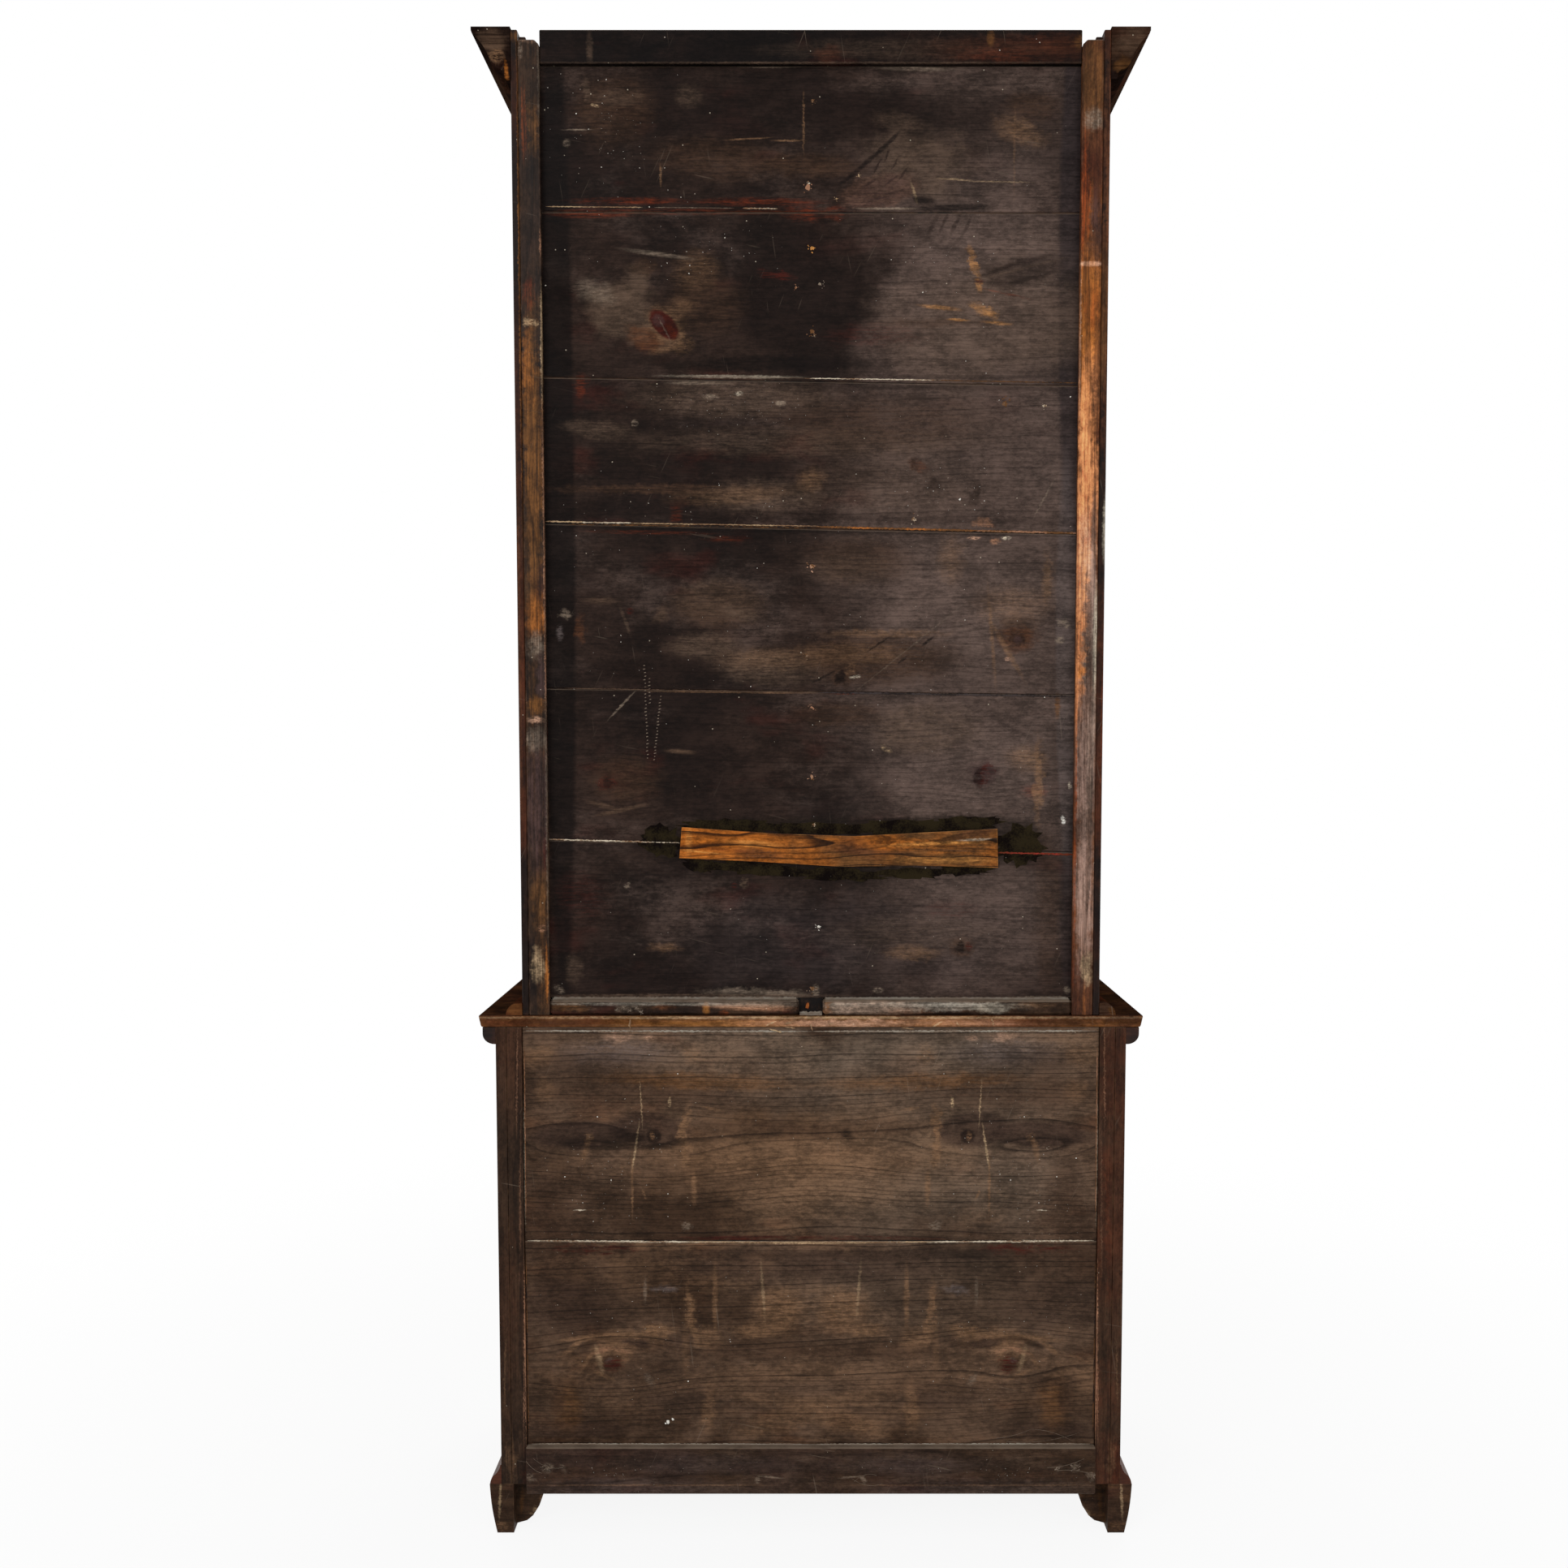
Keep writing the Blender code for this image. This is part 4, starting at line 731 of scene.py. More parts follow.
    (1040, 1020, 195, 11, 1, "pitch", 0.92, 0.35),
    (1160, 1014, 90, 9, -1, "pitch", 0.92, 0.35),
    (1258, 1040, 32, 28, 0, "pitch", 0.92, 0.30),
    (940, 1068, 96, 9, 4, "pitch", 0.92, 0.4),
    (1060, 1073, 60, 10, 2, "pitch", 0.92, 0.35),
    (1160, 1073, 70, 6, 0, "pitch", 0.85, 0.4),
    (858, 1066, 7, 11, 10, "pitch", 0.90, 0.3),
    (884, 1072, 6, 11, -10, "pitch", 0.90, 0.3),
    (1060, 1080, 9, 7, 0, "pitch", 0.90, 0.3),
    (905, 1091, 3.6, 3.8, 0, "oxblood", 0.98, 0.3),
    (917, 1088, 5, 6, 0, "smoke", 0.85, 0.5),
    (773, 1091, 3, 4, 40, "ash", 0.80, 0.5),
    # the lowest board
    (760, 1060, 60, 14, 0, "slate", 0.80, 0.5),
    (1172, 1120, 30, 10, 0, "oxblood", 0.40, 0.4),
    (1125, 1174, 30, 9, 0, "tan", 0.50, 0.5),
    (1130, 1150, 90, 20, 0, "smoke", 0.40, 0.6),
    (1184, 1167, 15, 12, 0, "umber", 0.80, 0.4),
    (1184, 1167, 8, 7, 0, "black", 0.90, 0.3),
    (1194, 1166, 4, 5, 0, "oxblood", 0.85, 0.5),
    (818, 1167, 17, 5, 2, "tan", 0.55, 0.6),
    (707, 1194, 8, 18, 0, "smoke", 0.60, 0.6),
    (720, 1105, 30, 24, 30, "oxblood", 0.40, 0.6),
    (1290, 1120, 14, 90, 0, "umber", 0.50, 0.6),
    (1082, 1220, 6, 3, 0, "ash", 0.85, 0.5),
    (1315, 1220, 4, 4, 40, "ash", 0.80, 0.5),
    (934, 1224, 58, 6, 2, "ash", 0.70, 0.5),
    (850, 1227, 170, 2.4, 0, "smoke", 0.80, 0.5),
    (1287, 1229, 34, 1.8, 0, "ash", 0.75, 0.5),
    (688, 1219, 7, 4, 30, "ash", 0.80, 0.6),
    (1005, 1221, 4, 7, 0, "ash", 0.85, 0.5),
)
# The large knot with its pale rim and the lines in it
LARGE_KNOT = (
    (821, 402, 27, 19, 46, "tan", 0.55, 0.35),
    (818, 400, 22, 12, 46, "oxblood", 1.0, 0.15),
    (811, 395, 8, 7, 44, "plum", 0.55, 0.26),
    (819, 406, 13, 1.0, 62, "ash", 0.45, 0.6),
    (827, 408, 9, 4, 60, "brick", 0.75, 0.4),
)
# The top rail
TOP_RAIL_MARKS = (
    (726, 57, 3.5, 17, 0, "smoke", 0.75, 0.6),
    (690, 57, 34, 12, 0, "stain", 0.60, 0.5),
    (1120, 60, 150, 10, 0, "smoke", 0.30, 0.6),
    (1250, 60, 95, 15, 0, "russet", 0.50, 0.5),
    (1225, 66, 40, 7, 0, "brick", 0.22, 0.6),
    (1305, 52, 34, 10, 0, "russet", 0.45, 0.6),
    (1020, 66, 16, 8, 0, "russet", 0.45, 0.6),
    (1221, 46, 4, 8, 0, "umbel", 0.80, 0.6),
    (1336, 50, 10, 8, 0, "umbel", 0.70, 0.6),
    (1130, 82, 44, 3, 1, "ash", 0.55, 0.6),
    (1000, 76, 300, 1.0, 0, "smoke", 0.60, 0.5),
)
# The lower boards, read at the left and mirrored
LOWER_MARKS = (
    (940, 1430, 120, 60, 0, "tan", 0.34, 0.6),
    (850, 1340, 140, 40, 0, "nut", 0.50, 0.6),
    (690, 1330, 40, 60, 0, "nut", 0.50, 0.6),
    (690, 1500, 40, 90, 0, "umber", 0.60, 0.6),
    (760, 1296, 60, 15, 0, "steel", 0.55, 0.6),
    (800, 1600, 150, 40, 0, "oak", 0.55, 0.6),
    (900, 1690, 120, 48, 0, "nut", 0.50, 0.6),
    (690, 1740, 60, 40, 0, "oak", 0.50, 0.6),
    (700, 1560, 60, 30, 0, "umber", 0.50, 0.6),
    (672, 1344, 12, 14, 0, "tan", 0.60, 0.5),
    (664, 1302, 20, 12, 0, "tan", 0.55, 0.5),
    (760, 1344, 110, 20, 0, "umber", 0.75, 0.6),
    (860, 1332, 110, 9, 2, "umbel", 0.60, 0.6),
    (716, 1398, 62, 17, -2, "loam", 0.80, 0.24),
    (800, 1392, 46, 22, 6, "loam", 0.75, 0.24),
    (806, 1400, 9, 9, 0, "stain", 0.80, 0.25),
    (804, 1400, 3, 5, 0, "tan", 0.70, 0.6),
    (940, 1392, 80, 12, 2, "umber", 0.60, 0.5),
    (955, 1397, 8, 6, 0, "black", 0.70, 0.6),
    (910, 1430, 110, 16, 4, "tan", 0.28, 0.6),
    (790, 1360, 0.8, 27, -3, "straw", 0.60, 0.5),
    (783, 1414, 1.2, 28, 9, "straw", 0.80, 0.5),
    (779, 1460, 1.4, 34, 0, "tan", 0.95, 0.5),
    (844, 1386, 5, 22, 10, "tan", 1.0, 0.5),
    (845, 1420, 5, 18, 0, "tan", 0.90, 0.6),
    (855, 1463, 3.2, 20, -1, "tan", 0.85, 0.6),
    (825, 1358, 1.8, 6, 0, "straw", 0.85, 0.5),
    (876, 1366, 10, 2.0, 8, "tan", 0.70, 0.6),
    (722, 1416, 3.5, 16, 14, "tan", 0.70, 0.6),
    (727, 1402, 5, 5, 0, "tan", 0.70, 0.6),
    (793, 1471, 1.6, 6, -22, "tan", 0.85, 0.5),
    (714, 1491, 7, 0.9, 0, "glint", 0.80, 0.4),
    (846, 1511, 6, 5, 0, "ash", 0.55, 0.6),
    (762, 1278, 13, 5, 0, "blush", 0.40, 0.7),
    (800, 1279, 7, 3, 0, "blush", 0.40, 0.7),
    (855, 1300, 10, 10, 0, "tan", 0.50, 0.7),
    (720, 1310, 60, 14, 0, "slate", 0.55, 0.6),
    (646, 1432, 1.0, 70, 0, "glint", 0.55, 0.5),
    # the seam with its pale line and red-brown bands
    (800, 1529.6, 160, 1.4, 0.3, "glint", 0.85, 0.35),
    (980, 1531.2, 70, 1.2, 0.2, "straw", 0.75, 0.5),
    (736, 1539, 52, 6, 0, "oxblood", 0.90, 0.4),
    (930, 1526, 90, 3.4, 0, "oxblood", 0.90, 0.5),
    (880, 1545, 130, 7, 0, "stain", 0.60, 0.5),
    # below the seam: lens shapes, knots and rubbed grain
    (930, 1664, 80, 12, 0, "umber", 0.65, 0.40),
    (780, 1655, 70, 8, -2, "loam", 0.70, 0.30),
    (780, 1650, 40, 12, 4, "tan", 0.65, 0.5),
    (754, 1666, 26, 16, 0, "tan", 0.60, 0.5),
    (706, 1660, 14, 3.4, -38, "tan", 0.70, 0.5),
    (724, 1676, 12, 3.0, -60, "tan", 0.60, 0.5),
    (742, 1694, 16, 2.6, 24, "tan", 0.60, 0.5),
    (753, 1680, 14, 12, 0, "oak", 0.95, 0.3),
    (755, 1681, 8, 7, 0, "oxblood", 0.85, 0.5),
    (750, 1676, 5, 3, -20, "steel", 0.45, 0.6),
    (738, 1674, 3, 16, -14, "straw", 0.35, 0.6),
    (960, 1615, 30, 26, 0, "tan", 0.90, 0.6),
    (930, 1560, 100, 20, 0, "loam", 0.60, 0.6),
    (700, 1610, 60, 34, 0, "loam", 0.55, 0.6),
    (840, 1718, 60, 18, 0, "loam", 0.50, 0.6),
    (700, 1762, 70, 10, 0, "loam", 0.60, 0.6),
    (740, 1648, 44, 4, -4, "tan", 0.80, 0.6),
    (812, 1640, 16, 7, -6, "tan", 0.80, 0.6),
    (930, 1640, 22, 9, 0, "tan", 0.75, 0.6),
    (852, 1620, 5, 36, -6, "tan", 0.80, 0.6),
    (881, 1600, 3.0, 38, 0, "tan", 0.70, 0.6),
    (801, 1640, 10, 6, 0, "tan", 0.80, 0.6),
    (874, 1735, 8, 26, 4, "tan", 0.60, 0.6),
    (958, 1752, 46, 13, -14, "tan", 0.60, 0.6),
    (700, 1730, 16, 30, 0, "umbel", 0.50, 0.6),
    (820, 1588, 16, 5, 0, "steel", 0.70, 0.5),
    (872, 1650, 18, 14, 0, "tan", 0.55, 0.6),
    (900, 1700, 130, 14, -6, "tan", 0.22, 0.6),
    (960, 1725, 70, 10, 8, "tan", 0.35, 0.6),
    (687, 1724, 9, 18, 0, "umber", 0.80, 0.5),
    (700, 1702, 40, 5, 0, "umber", 0.60, 0.6),
    (800, 1700, 4, 8, -30, "ash", 0.50, 0.7),
    (795, 1590, 2.0, 14, 0, "ash", 0.45, 0.7),
    (940, 1590, 1.6, 30, -4, "straw", 0.40, 0.7),
    (845, 1660, 4, 40, 0, "tan", 0.35, 0.7),
    (646, 1660, 1.0, 110, 1, "blush", 0.55, 0.5),
    # the dark arch and the pale ring of the knot low down
    (727, 1655, 14, 3.5, -24, "oak", 0.85, 0.5),
    (752, 1649, 18, 3.5, 0, "oak", 0.85, 0.5),
    (784, 1655, 20, 5.5, 10, "loam", 0.90, 0.5),
    (742, 1664, 12, 3.0, -20, "clay", 0.50, 0.5),
    (764, 1664, 10, 2.4, 16, "clay", 0.45, 0.5),
    (757, 1681, 13, 10, 0, "oxblood", 0.70, 0.4),
)
# Painted light: a pale veil that lightens the photograph's right half of the lower boards
LOWER_PAINTED_LIGHT = (
    (1120, 1318, 200, 56, 0, "ash", 0.40, 0.7),
    (1120, 1450, 180, 62, 0, "ash", 0.30, 0.7),
    (1150, 1600, 170, 50, 0, "ash", 0.20, 0.7),
    (880, 1290, 120, 40, 0, "ash", 0.16, 0.7),
)
# The bottom rail, mirrored too
RAIL_MARKS = (
    (800, 1830, 130, 1.2, 0, "tan", 0.55, 0.5),
    (673, 1808, 6, 6, 20, "ash", 0.65, 0.6),
    (694, 1810, 3, 6, -30, "ash", 0.60, 0.6),
    (653, 1820, 6, 5, 0, "ash", 0.60, 0.6),
    (934, 1823, 3, 5, 30, "ash", 0.60, 0.5),
    (950, 1820, 14, 1.2, 6, "ash", 0.55, 0.6),
    (730, 1815, 60, 8, 0, "umber", 0.55, 0.6),
    (880, 1805, 90, 12, 0, "lead", 0.45, 0.6),
    (690, 1818, 36, 7, -8, "umber", 0.60, 0.5),
    (790, 1838, 130, 14, 0, "steel", 0.25, 0.6),
)

# Knots that bow the grain: column, row, reach along the board and across it
UPPER_KNOTS = ((818, 400, 60, 34), (1254, 788, 50, 30), (1213, 953, 54, 32), (1036, 835, 34, 22),
               (748, 965, 44, 26), (1184, 1167, 40, 24), (760, 372, 60, 30))
LOWER_KNOTS = ((806, 1400, 120, 46), (753, 1679, 90, 40), (690, 1400, 80, 34))


def dress_back_boards():
    """The six upper boards, the top rail, the two lower boards and the bottom rail."""
    boards = [f"upper_back_board_{number}" for number in range(1, 7)]
    dress(boards, 1, "x", ("stain", "slate", "taupe"), 0.0085,
          (UPPER_MARKS + LARGE_KNOT, UPPER_FACE, False), waver=0.05, late_dark=0.34, patches=0.40,
          specks=0.10, relief=0.40, scratches=0.18, fibres=0.42, streaky=2.2, short=0.8, pith_drop=0.3,
          knots=knots_on(UPPER_KNOTS, UPPER_FACE))
    dress(["upper_back_top_rail"], 11, "x", ("black", "stain", "slate"), 0.006,
          (TOP_RAIL_MARKS, BACK, False), late_dark=0.3)
    # The lower boards, with painted light that lightens their right half
    dress(["lower_back_board_1", "lower_back_board_2"], 21, "x", ("oak", "nut", "tan"), 0.0075,
          (LOWER_PAINTED_LIGHT, LOWER_FACE, False), (LOWER_MARKS, LOWER_FACE, True), waver=0.055,
          pith_depth=0.12, late_dark=0.62, patches=0.40, specks=0.12, relief=0.5, scratches=0.25,
          tint="sienna", fibres=0.42, streaky=2.6, short=0.7, pith_drop=0.3,
          knots=knots_on(LOWER_KNOTS, LOWER_FACE, True))
    dress(["lower_back_rail"], 31, "x", ("oak", "loam", "smoke"), 0.006, (RAIL_MARKS, RAIL_FACE, True),
          late_dark=0.4, dust=0.9)


# The stile at the photograph's left: columns and half widths are shares of it, from its inner edge
LEFT_STILE = (
    (0.50, 44, 0.44, 7, 0, "blush", 0.55, 0.6),
    (0.88, 62, 0.10, 8, 0, "ash", 0.80, 0.6),
    (0.50, 200, 0.60, 150, 0, "oak", 0.75, 0.6),
    (0.50, 240, 0.60, 70, 0, "stain", 0.60, 0.6),
    (0.25, 158, 0.20, 26, 0, "umbel", 0.75, 0.6),
    (0.75, 150, 0.10, 40, 0, "ember", 0.50, 0.6),
    (0.50, 300, 0.60, 46, 0, "slate", 0.70, 0.6),
    (0.50, 392, 0.60, 50, 0, "oak", 0.60, 0.6),
    (0.16, 348, 0.18, 14, 0, "slate", 0.80, 0.5),
    (0.62, 362, 0.28, 18, 0, "brick", 0.65, 0.5),
    (0.55, 398, 0.30, 5, 0, "straw", 0.85, 0.4),
    (0.50, 565, 0.42, 158, 0, "bronze", 0.58, 0.4),
    (0.70, 450, 0.22, 40, 0, "amber", 0.40, 0.6),
    (0.12, 488, 0.12, 20, 0, "black", 0.65, 0.6),
    (0.55, 530, 0.30, 9, 0, "black", 0.35, 0.7),
    (0.85, 682, 0.10, 20, 0, "black", 0.60, 0.6),
    (0.45, 760, 0.42, 24, 0, "amber", 0.60, 0.6),
    (0.50, 795, 0.36, 15, 0, "ash", 0.80, 0.4),
    (0.20, 834, 0.24, 26, 0, "plum", 0.80, 0.5),
    (0.50, 868, 0.40, 10, 0, "bronze", 0.70, 0.6),
    (0.50, 887, 0.36, 4, 0, "blush", 0.60, 0.5),
    (0.50, 912, 0.44, 14, 0, "ash", 0.70, 0.4),
    (0.50, 1000, 0.60, 76, 0, "plum", 0.90, 0.4),
    (0.22, 1048, 0.18, 24, 0, "oxblood", 0.80, 0.6),
    (0.40, 1110, 0.40, 30, 0, "umbel", 0.75, 0.6),
    (0.30, 1144, 0.20, 4, 0, "clay", 0.80, 0.5),
    (0.55, 1188, 0.30, 18, 0, "straw", 0.65, 0.5),
    (0.12, 1200, 0.08, 30, 0, "amber", 0.70, 0.5),
    (0.03, 90, 0.05, 46, 0, "ash", 0.55, 0.6),
    (0.04, 298, 0.04, 14, 0, "clay", 0.80, 0.5),
    (0.03, 425, 0.05, 62, 0, "straw", 0.90, 0.5),
    (0.02, 690, 0.04, 175, 0, "clay", 0.75, 0.5),
    (0.03, 1010, 0.05, 130, 0, "ash", 0.45, 0.6),
)
# The stile at the photograph's right, in the same way, with a painted highlight along its outer edge
RIGHT_STILE = (
    (0.50, 100, 0.60, 50, 0, "umbel", 0.75, 0.5),
    (0.55, 147, 0.44, 13, 0, "ash", 0.85, 0.4),
    (0.20, 250, 0.20, 74, 0, "ember", 0.80, 0.5),
    (0.70, 285, 0.30, 46, 0, "plum", 0.80, 0.5),
    (0.50, 325, 0.60, 3, 0, "blush", 0.95, 0.3),
    (0.45, 440, 0.60, 118, 0, "amber", 0.92, 0.4),
    (0.40, 500, 0.40, 60, 0, "coral", 0.70, 0.5),
    (0.45, 620, 0.60, 76, 0, "coral", 0.85, 0.4),
    (0.30, 566, 0.30, 70, 0, "coral", 0.95, 0.5),
    (0.60, 380, 0.40, 26, 0, "ember", 0.60, 0.5),
    (0.84, 470, 0.20, 60, 0, "plum", 0.55, 0.6),
    (0.55, 528, 0.14, 12, 0, "black", 0.60, 0.5),
    (0.10, 606, 0.10, 8, 0, "black", 0.45, 0.6),
    (0.40, 700, 0.50, 60, 0, "blush", 0.70, 0.5),
    (0.24, 770, 0.24, 96, 0, "coral", 0.80, 0.5),
    (0.66, 780, 0.30, 60, 0, "plum", 0.60, 0.5),
    (0.78, 720, 0.12, 90, 0, "mauve", 0.80, 0.5),
    (0.80, 640, 0.18, 30, 0, "lead", 0.50, 0.6),
    # a painted highlight along the outer edge
    (0.92, 792, 0.12, 60, 0, "glint", 0.85, 0.5),
    (0.90, 890, 0.10, 46, 0, "ash", 0.70, 0.6),
    (0.55, 810, 0.30, 40, 0, "ash", 0.45, 0.6),
    (0.30, 828, 0.24, 8, 0, "amber", 0.85, 0.5),
    (0.55, 940, 0.50, 90, 0, "mauve", 0.75, 0.5),
    (0.55, 1100, 0.50, 90, 0, "mauve", 0.75, 0.5),
    (0.75, 1000, 0.20, 50, 0, "umber", 0.60, 0.5),
    (0.75, 920, 0.16, 90, 0, "ash", 0.30, 0.6),
    (0.70, 1194, 0.24, 19, 0, "straw", 0.80, 0.5),
    (0.03, 430, 0.04, 85, 0, "blush", 0.70, 0.5),
    (0.05, 760, 0.08, 160, 0, "coral", 0.85, 0.5),
    (0.05, 1050, 0.07, 180, 0, "ember", 0.90, 0.5),
)
# The lower posts' pale inner joint line, which is dust and a painted highlight on its arris, and their
# outer edge
POST_MARKS = (
    (637, 1330, 0.9, 60, 1, "clay", 0.60, 0.5),
    (641, 1480, 1.0, 90, 1, "clay", 0.55, 0.5),
    (646, 1660, 1.0, 110, 1, "clay", 0.60, 0.5),
    (606, 1420, 1.3, 60, 2, "tan", 0.60, 0.6),
    (622, 1690, 1.0, 40, 2, "tan", 0.70, 0.6),
    (612, 1560, 1.2, 60, 2, "tan", 0.50, 0.6),
    (640, 1560, 5, 230, 1, "oak", 0.60, 0.4),
    (620, 1560, 10, 230, 1.5, "oak", 0.45, 0.4),
    (647.4, 1400, 1.0, 110, 0, "clay", 0.45, 0.25),
    (647.4, 1665, 1.1, 112, 0, "clay", 0.70, 0.25),
    (612, 1330, 5, 30, 0, "umber", 0.50, 0.6),
    (630, 1800, 5, 24, 0, "tan", 0.45, 0.6),
)
# The shade over the post at the photograph's left
DARK_POST = ((622, 1560, 46, 420, 0, "oak", 0.70, 0.2),)
# The upper case's side boards, on their edges beside the stiles
SIDE_MARKS = (
    (1368, 250, 2.4, 190, 0, "ember", 0.55, 0.6),
    (1366, 560, 2.0, 90, 0, "amber", 0.60, 0.6),
    (1362, 650, 3.0, 34, 1, "glint", 0.80, 0.6),
    (1364, 300, 5, 240, 0, "walnut", 0.70, 0.5),
    (1360, 390, 4, 80, 0, "umbel", 0.70, 0.5),
    (1360, 900, 3, 160, 0, "ember", 0.45, 0.6),
    (636, 300, 8, 260, 0, "stain", 0.80, 0.5),
    (640, 360, 0.9, 250, 0, "bronze", 0.55, 0.6),
    (640, 800, 2.0, 200, 0, "sienna", 0.60, 0.6),
    (636, 44, 8, 6, 0, "umbel", 0.80, 0.6),
)
# The two blocks that stand on the worktop
BLOCK_MARKS = (
    (715, 1243, 20, 3, 0, "smoke", 0.45, 0.6),
    (775, 1242, 14, 6, 0, "ash", 0.55, 0.6),
    (819, 1241, 12, 4, 0, "sienna", 0.90, 0.5),
    (870, 1243, 4, 8, 0, "bronze", 0.90, 0.5),
    (892, 1250, 6, 4, 0, "ember", 0.70, 0.5),
    (930, 1240, 34, 4, 0, "tan", 0.55, 0.6),
    (962, 1248, 14, 5, 0, "oxblood", 0.70, 0.6),
    (820, 1248, 50, 5, 0, "stain", 0.80, 0.5),
    (925, 1241, 46, 4, 2, "clay", 0.75, 0.6),
    (700, 1241, 22, 6, 0, "umbel", 0.60, 0.6),
    (1060, 1243, 50, 8, 0, "dust", 0.75, 0.6),
    (1130, 1238, 110, 3, 0, "dust", 0.95, 0.5),
    (1150, 1249, 50, 4, 0, "stain", 0.85, 0.5),
    (1222, 1243, 20, 6, 0, "glint", 0.60, 0.5),
    (1280, 1246, 40, 5, 0, "oak", 0.80, 0.5),
    (1270, 1239, 24, 3, 0, "tan", 0.70, 0.6),
    (1019, 1244, 5, 10, 0, "umbel", 0.90, 0.4),
    (1075, 1244, 60, 10, 0, "clay", 0.42, 0.6),
    (1185, 1241, 70, 5, 0, "dust", 0.55, 0.5),
    (800, 1237, 130, 2, 0, "dust", 0.60, 0.6),
    (930, 1238, 60, 3, 0, "ash", 0.55, 0.6),
)
# The repair strip
STRIP_MARKS = (
    (934, 1052, 26, 7, 4, "umber", 0.80, 0.5),
    (928, 1040, 30, 4, 4, "honey", 0.55, 0.6),
    (880, 1046, 44, 2.0, 6, "brick", 0.60, 0.6),
    (862, 1050, 26, 1.0, 6, "honey", 0.70, 0.5),
    (1075, 1050, 50, 3.0, 0, "sienna", 0.60, 0.6),
    (1150, 1040, 60, 2.2, -2, "honey", 0.60, 0.5),
    (1160, 1048, 50, 1.4, 2, "umber", 0.70, 0.5),
    (1200, 1028, 26, 5, -10, "sienna", 0.65, 0.4),
    (1205, 1035, 22, 1.4, -2, "glint", 0.60, 0.5),
    (1170, 1060, 60, 4, 0, "honey", 0.45, 0.6),
    (848, 1036, 4, 16, 0, "honey", 0.45, 0.6),
)


def stile_marks(rows, name):
    """Marks on a stile, placed by their share across it from its inner edge."""
    low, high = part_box(name)
    inner, outer = (low.x, high.x) if low.x > 0 else (high.x, low.x)
    width = outer - inner
    return [(inner + share * width, seen_at(CENTRE_COLUMN, row, BACK)[1], half * abs(width), tall * PIXEL,
             *rest) for share, row, half, tall, *rest in rows]


def dress_stiles_and_posts():
    """The cover stiles with their shellac, the side boards, the blocks and the repair strip."""
    stiles = (("upper_back_stile_right", LEFT_STILE, ("stain", "oak", "umbel")),
              ("upper_back_stile_left", RIGHT_STILE, ("russet", "sienna", "amber")))
    for seed, (name, rows, tones) in enumerate(stiles, 40):
        finish(name, board_material(name, seed, "z", tones, 0.004, stile_marks(rows, name), waver=0.02,
                                    patches=0.45, roughness=(0.36, 0.55), gloss=0.06, scratches=0.2,
                                    wear="blush", streaky=9.0, fibres=0.7, crumbs=0.9, short=0.2))
    dress(both("upper_side"), 50, "side", ("stain", "russet", "walnut"), 0.007, (SIDE_MARKS, BACK, False),
          waver=0.04, patches=0.45, roughness=(0.4, 0.6), gloss=0.03, tint="russet", short=0.3)
    for name, seed, dark in (("lower_side_left", 55, "oak"), ("lower_side_right", 56, "stain")):
        dress([name], seed, "side", (dark, "russet", "walnut"), 0.007, (DARK_POST, BACK, False),
              (POST_MARKS, BACK, True), waver=0.04, patches=0.4, roughness=(0.45, 0.62), gloss=0.03,
              wear_share=0.6, tint="russet", short=0.3)
    for name, seed, tones in (("rear_cleat_left", 60, ("oak", "umber", "smoke")),
                              ("rear_cleat_right", 61, ("stain", "oak", "nut"))):
        dress([name], seed, "x", tones, 0.005, (BLOCK_MARKS, BACK, False), dust=0.8, crumbs=1.0)
    dress(["repair_strip"], 70, "x", ("umbel", "cedar", "ochre"), 0.0034, (STRIP_MARKS, BACK, False),
          waver=0.045, patches=0.7, late_dark=0.9, wear="honey", wear_share=0.7, scratches=0.0,
          streaky=7.0, fibres=0.9, crumbs=0.9)


# The worktop's back edge; the long pale line along its top arris is a painted highlight
WORKTOP_MARKS = (
    # a painted highlight along the top arris
    (1000, 1254, 420, 1.5, 0, "straw", 0.85, 0.6),
    (1240, 1262, 110, 1.2, 0, "clay", 0.80, 0.6),
    (800, 1263, 90, 1.2, 0, "tan", 0.80, 0.6),
    (1330, 1262, 60, 5, 0, "bronze", 0.60, 0.6),
    (650, 1262, 70, 6, 0, "russet", 0.80, 0.5),
    (1040, 1262, 190, 7, 0, "clay", 0.72, 0.6),
    (930, 1263, 60, 5, 0, "honey", 0.40, 0.6),
    (1080, 1261, 120, 3, 0, "blush", 0.50, 0.6),
    (820, 1262, 60, 2, 0, "bronze", 0.60, 0.6),
    (1000, 1269, 400, 1.4, 0, "black", 0.60, 0.5),
    (740, 1260, 60, 5, 0, "russet", 0.60, 0.6),
    (870, 1261, 70, 4, 0, "bronze", 0.75, 0.6),
    (1130, 1261, 70, 4, 0, "bronze", 0.75, 0.6),
    (1290, 1261, 60, 5, 0, "russet", 0.70, 0.5),
    (960, 1262, 40, 3, 0, "clay", 0.45, 0.6),
    (1040, 1262, 40, 3, 0, "tan", 0.60, 0.6),
    (680, 1260, 40, 4, 0, "umber", 0.60, 0.6),
    (1310, 1260, 40, 4, 0, "umber", 0.60, 0.6),
    (1004, 1262, 16, 4, 0, "oxblood", 0.50, 0.6),
    (1052, 1261, 66, 5, 0, "blush", 0.55, 0.6),
    (1185, 1260, 60, 4, 0, "clay", 0.50, 0.6),
    (945, 1261, 50, 3, 0, "clay", 0.40, 0.6),
    (1384, 1259, 26, 8, 0, "stain", 0.70, 0.3),
    (950, 1261, 7, 0.9, -24, "straw", 0.90, 0.3),
    (973, 1260, 6, 0.8, -16, "straw", 0.85, 0.3),
    (1155, 1262, 7, 0.9, -30, "straw", 0.90, 0.3),
    (1181, 1263, 5, 0.9, 55, "straw", 0.85, 0.3),
    (1223, 1258, 0.9, 6, -14, "straw", 0.90, 0.3),
    (776, 1260, 0.9, 6, 8, "straw", 0.85, 0.3),
)
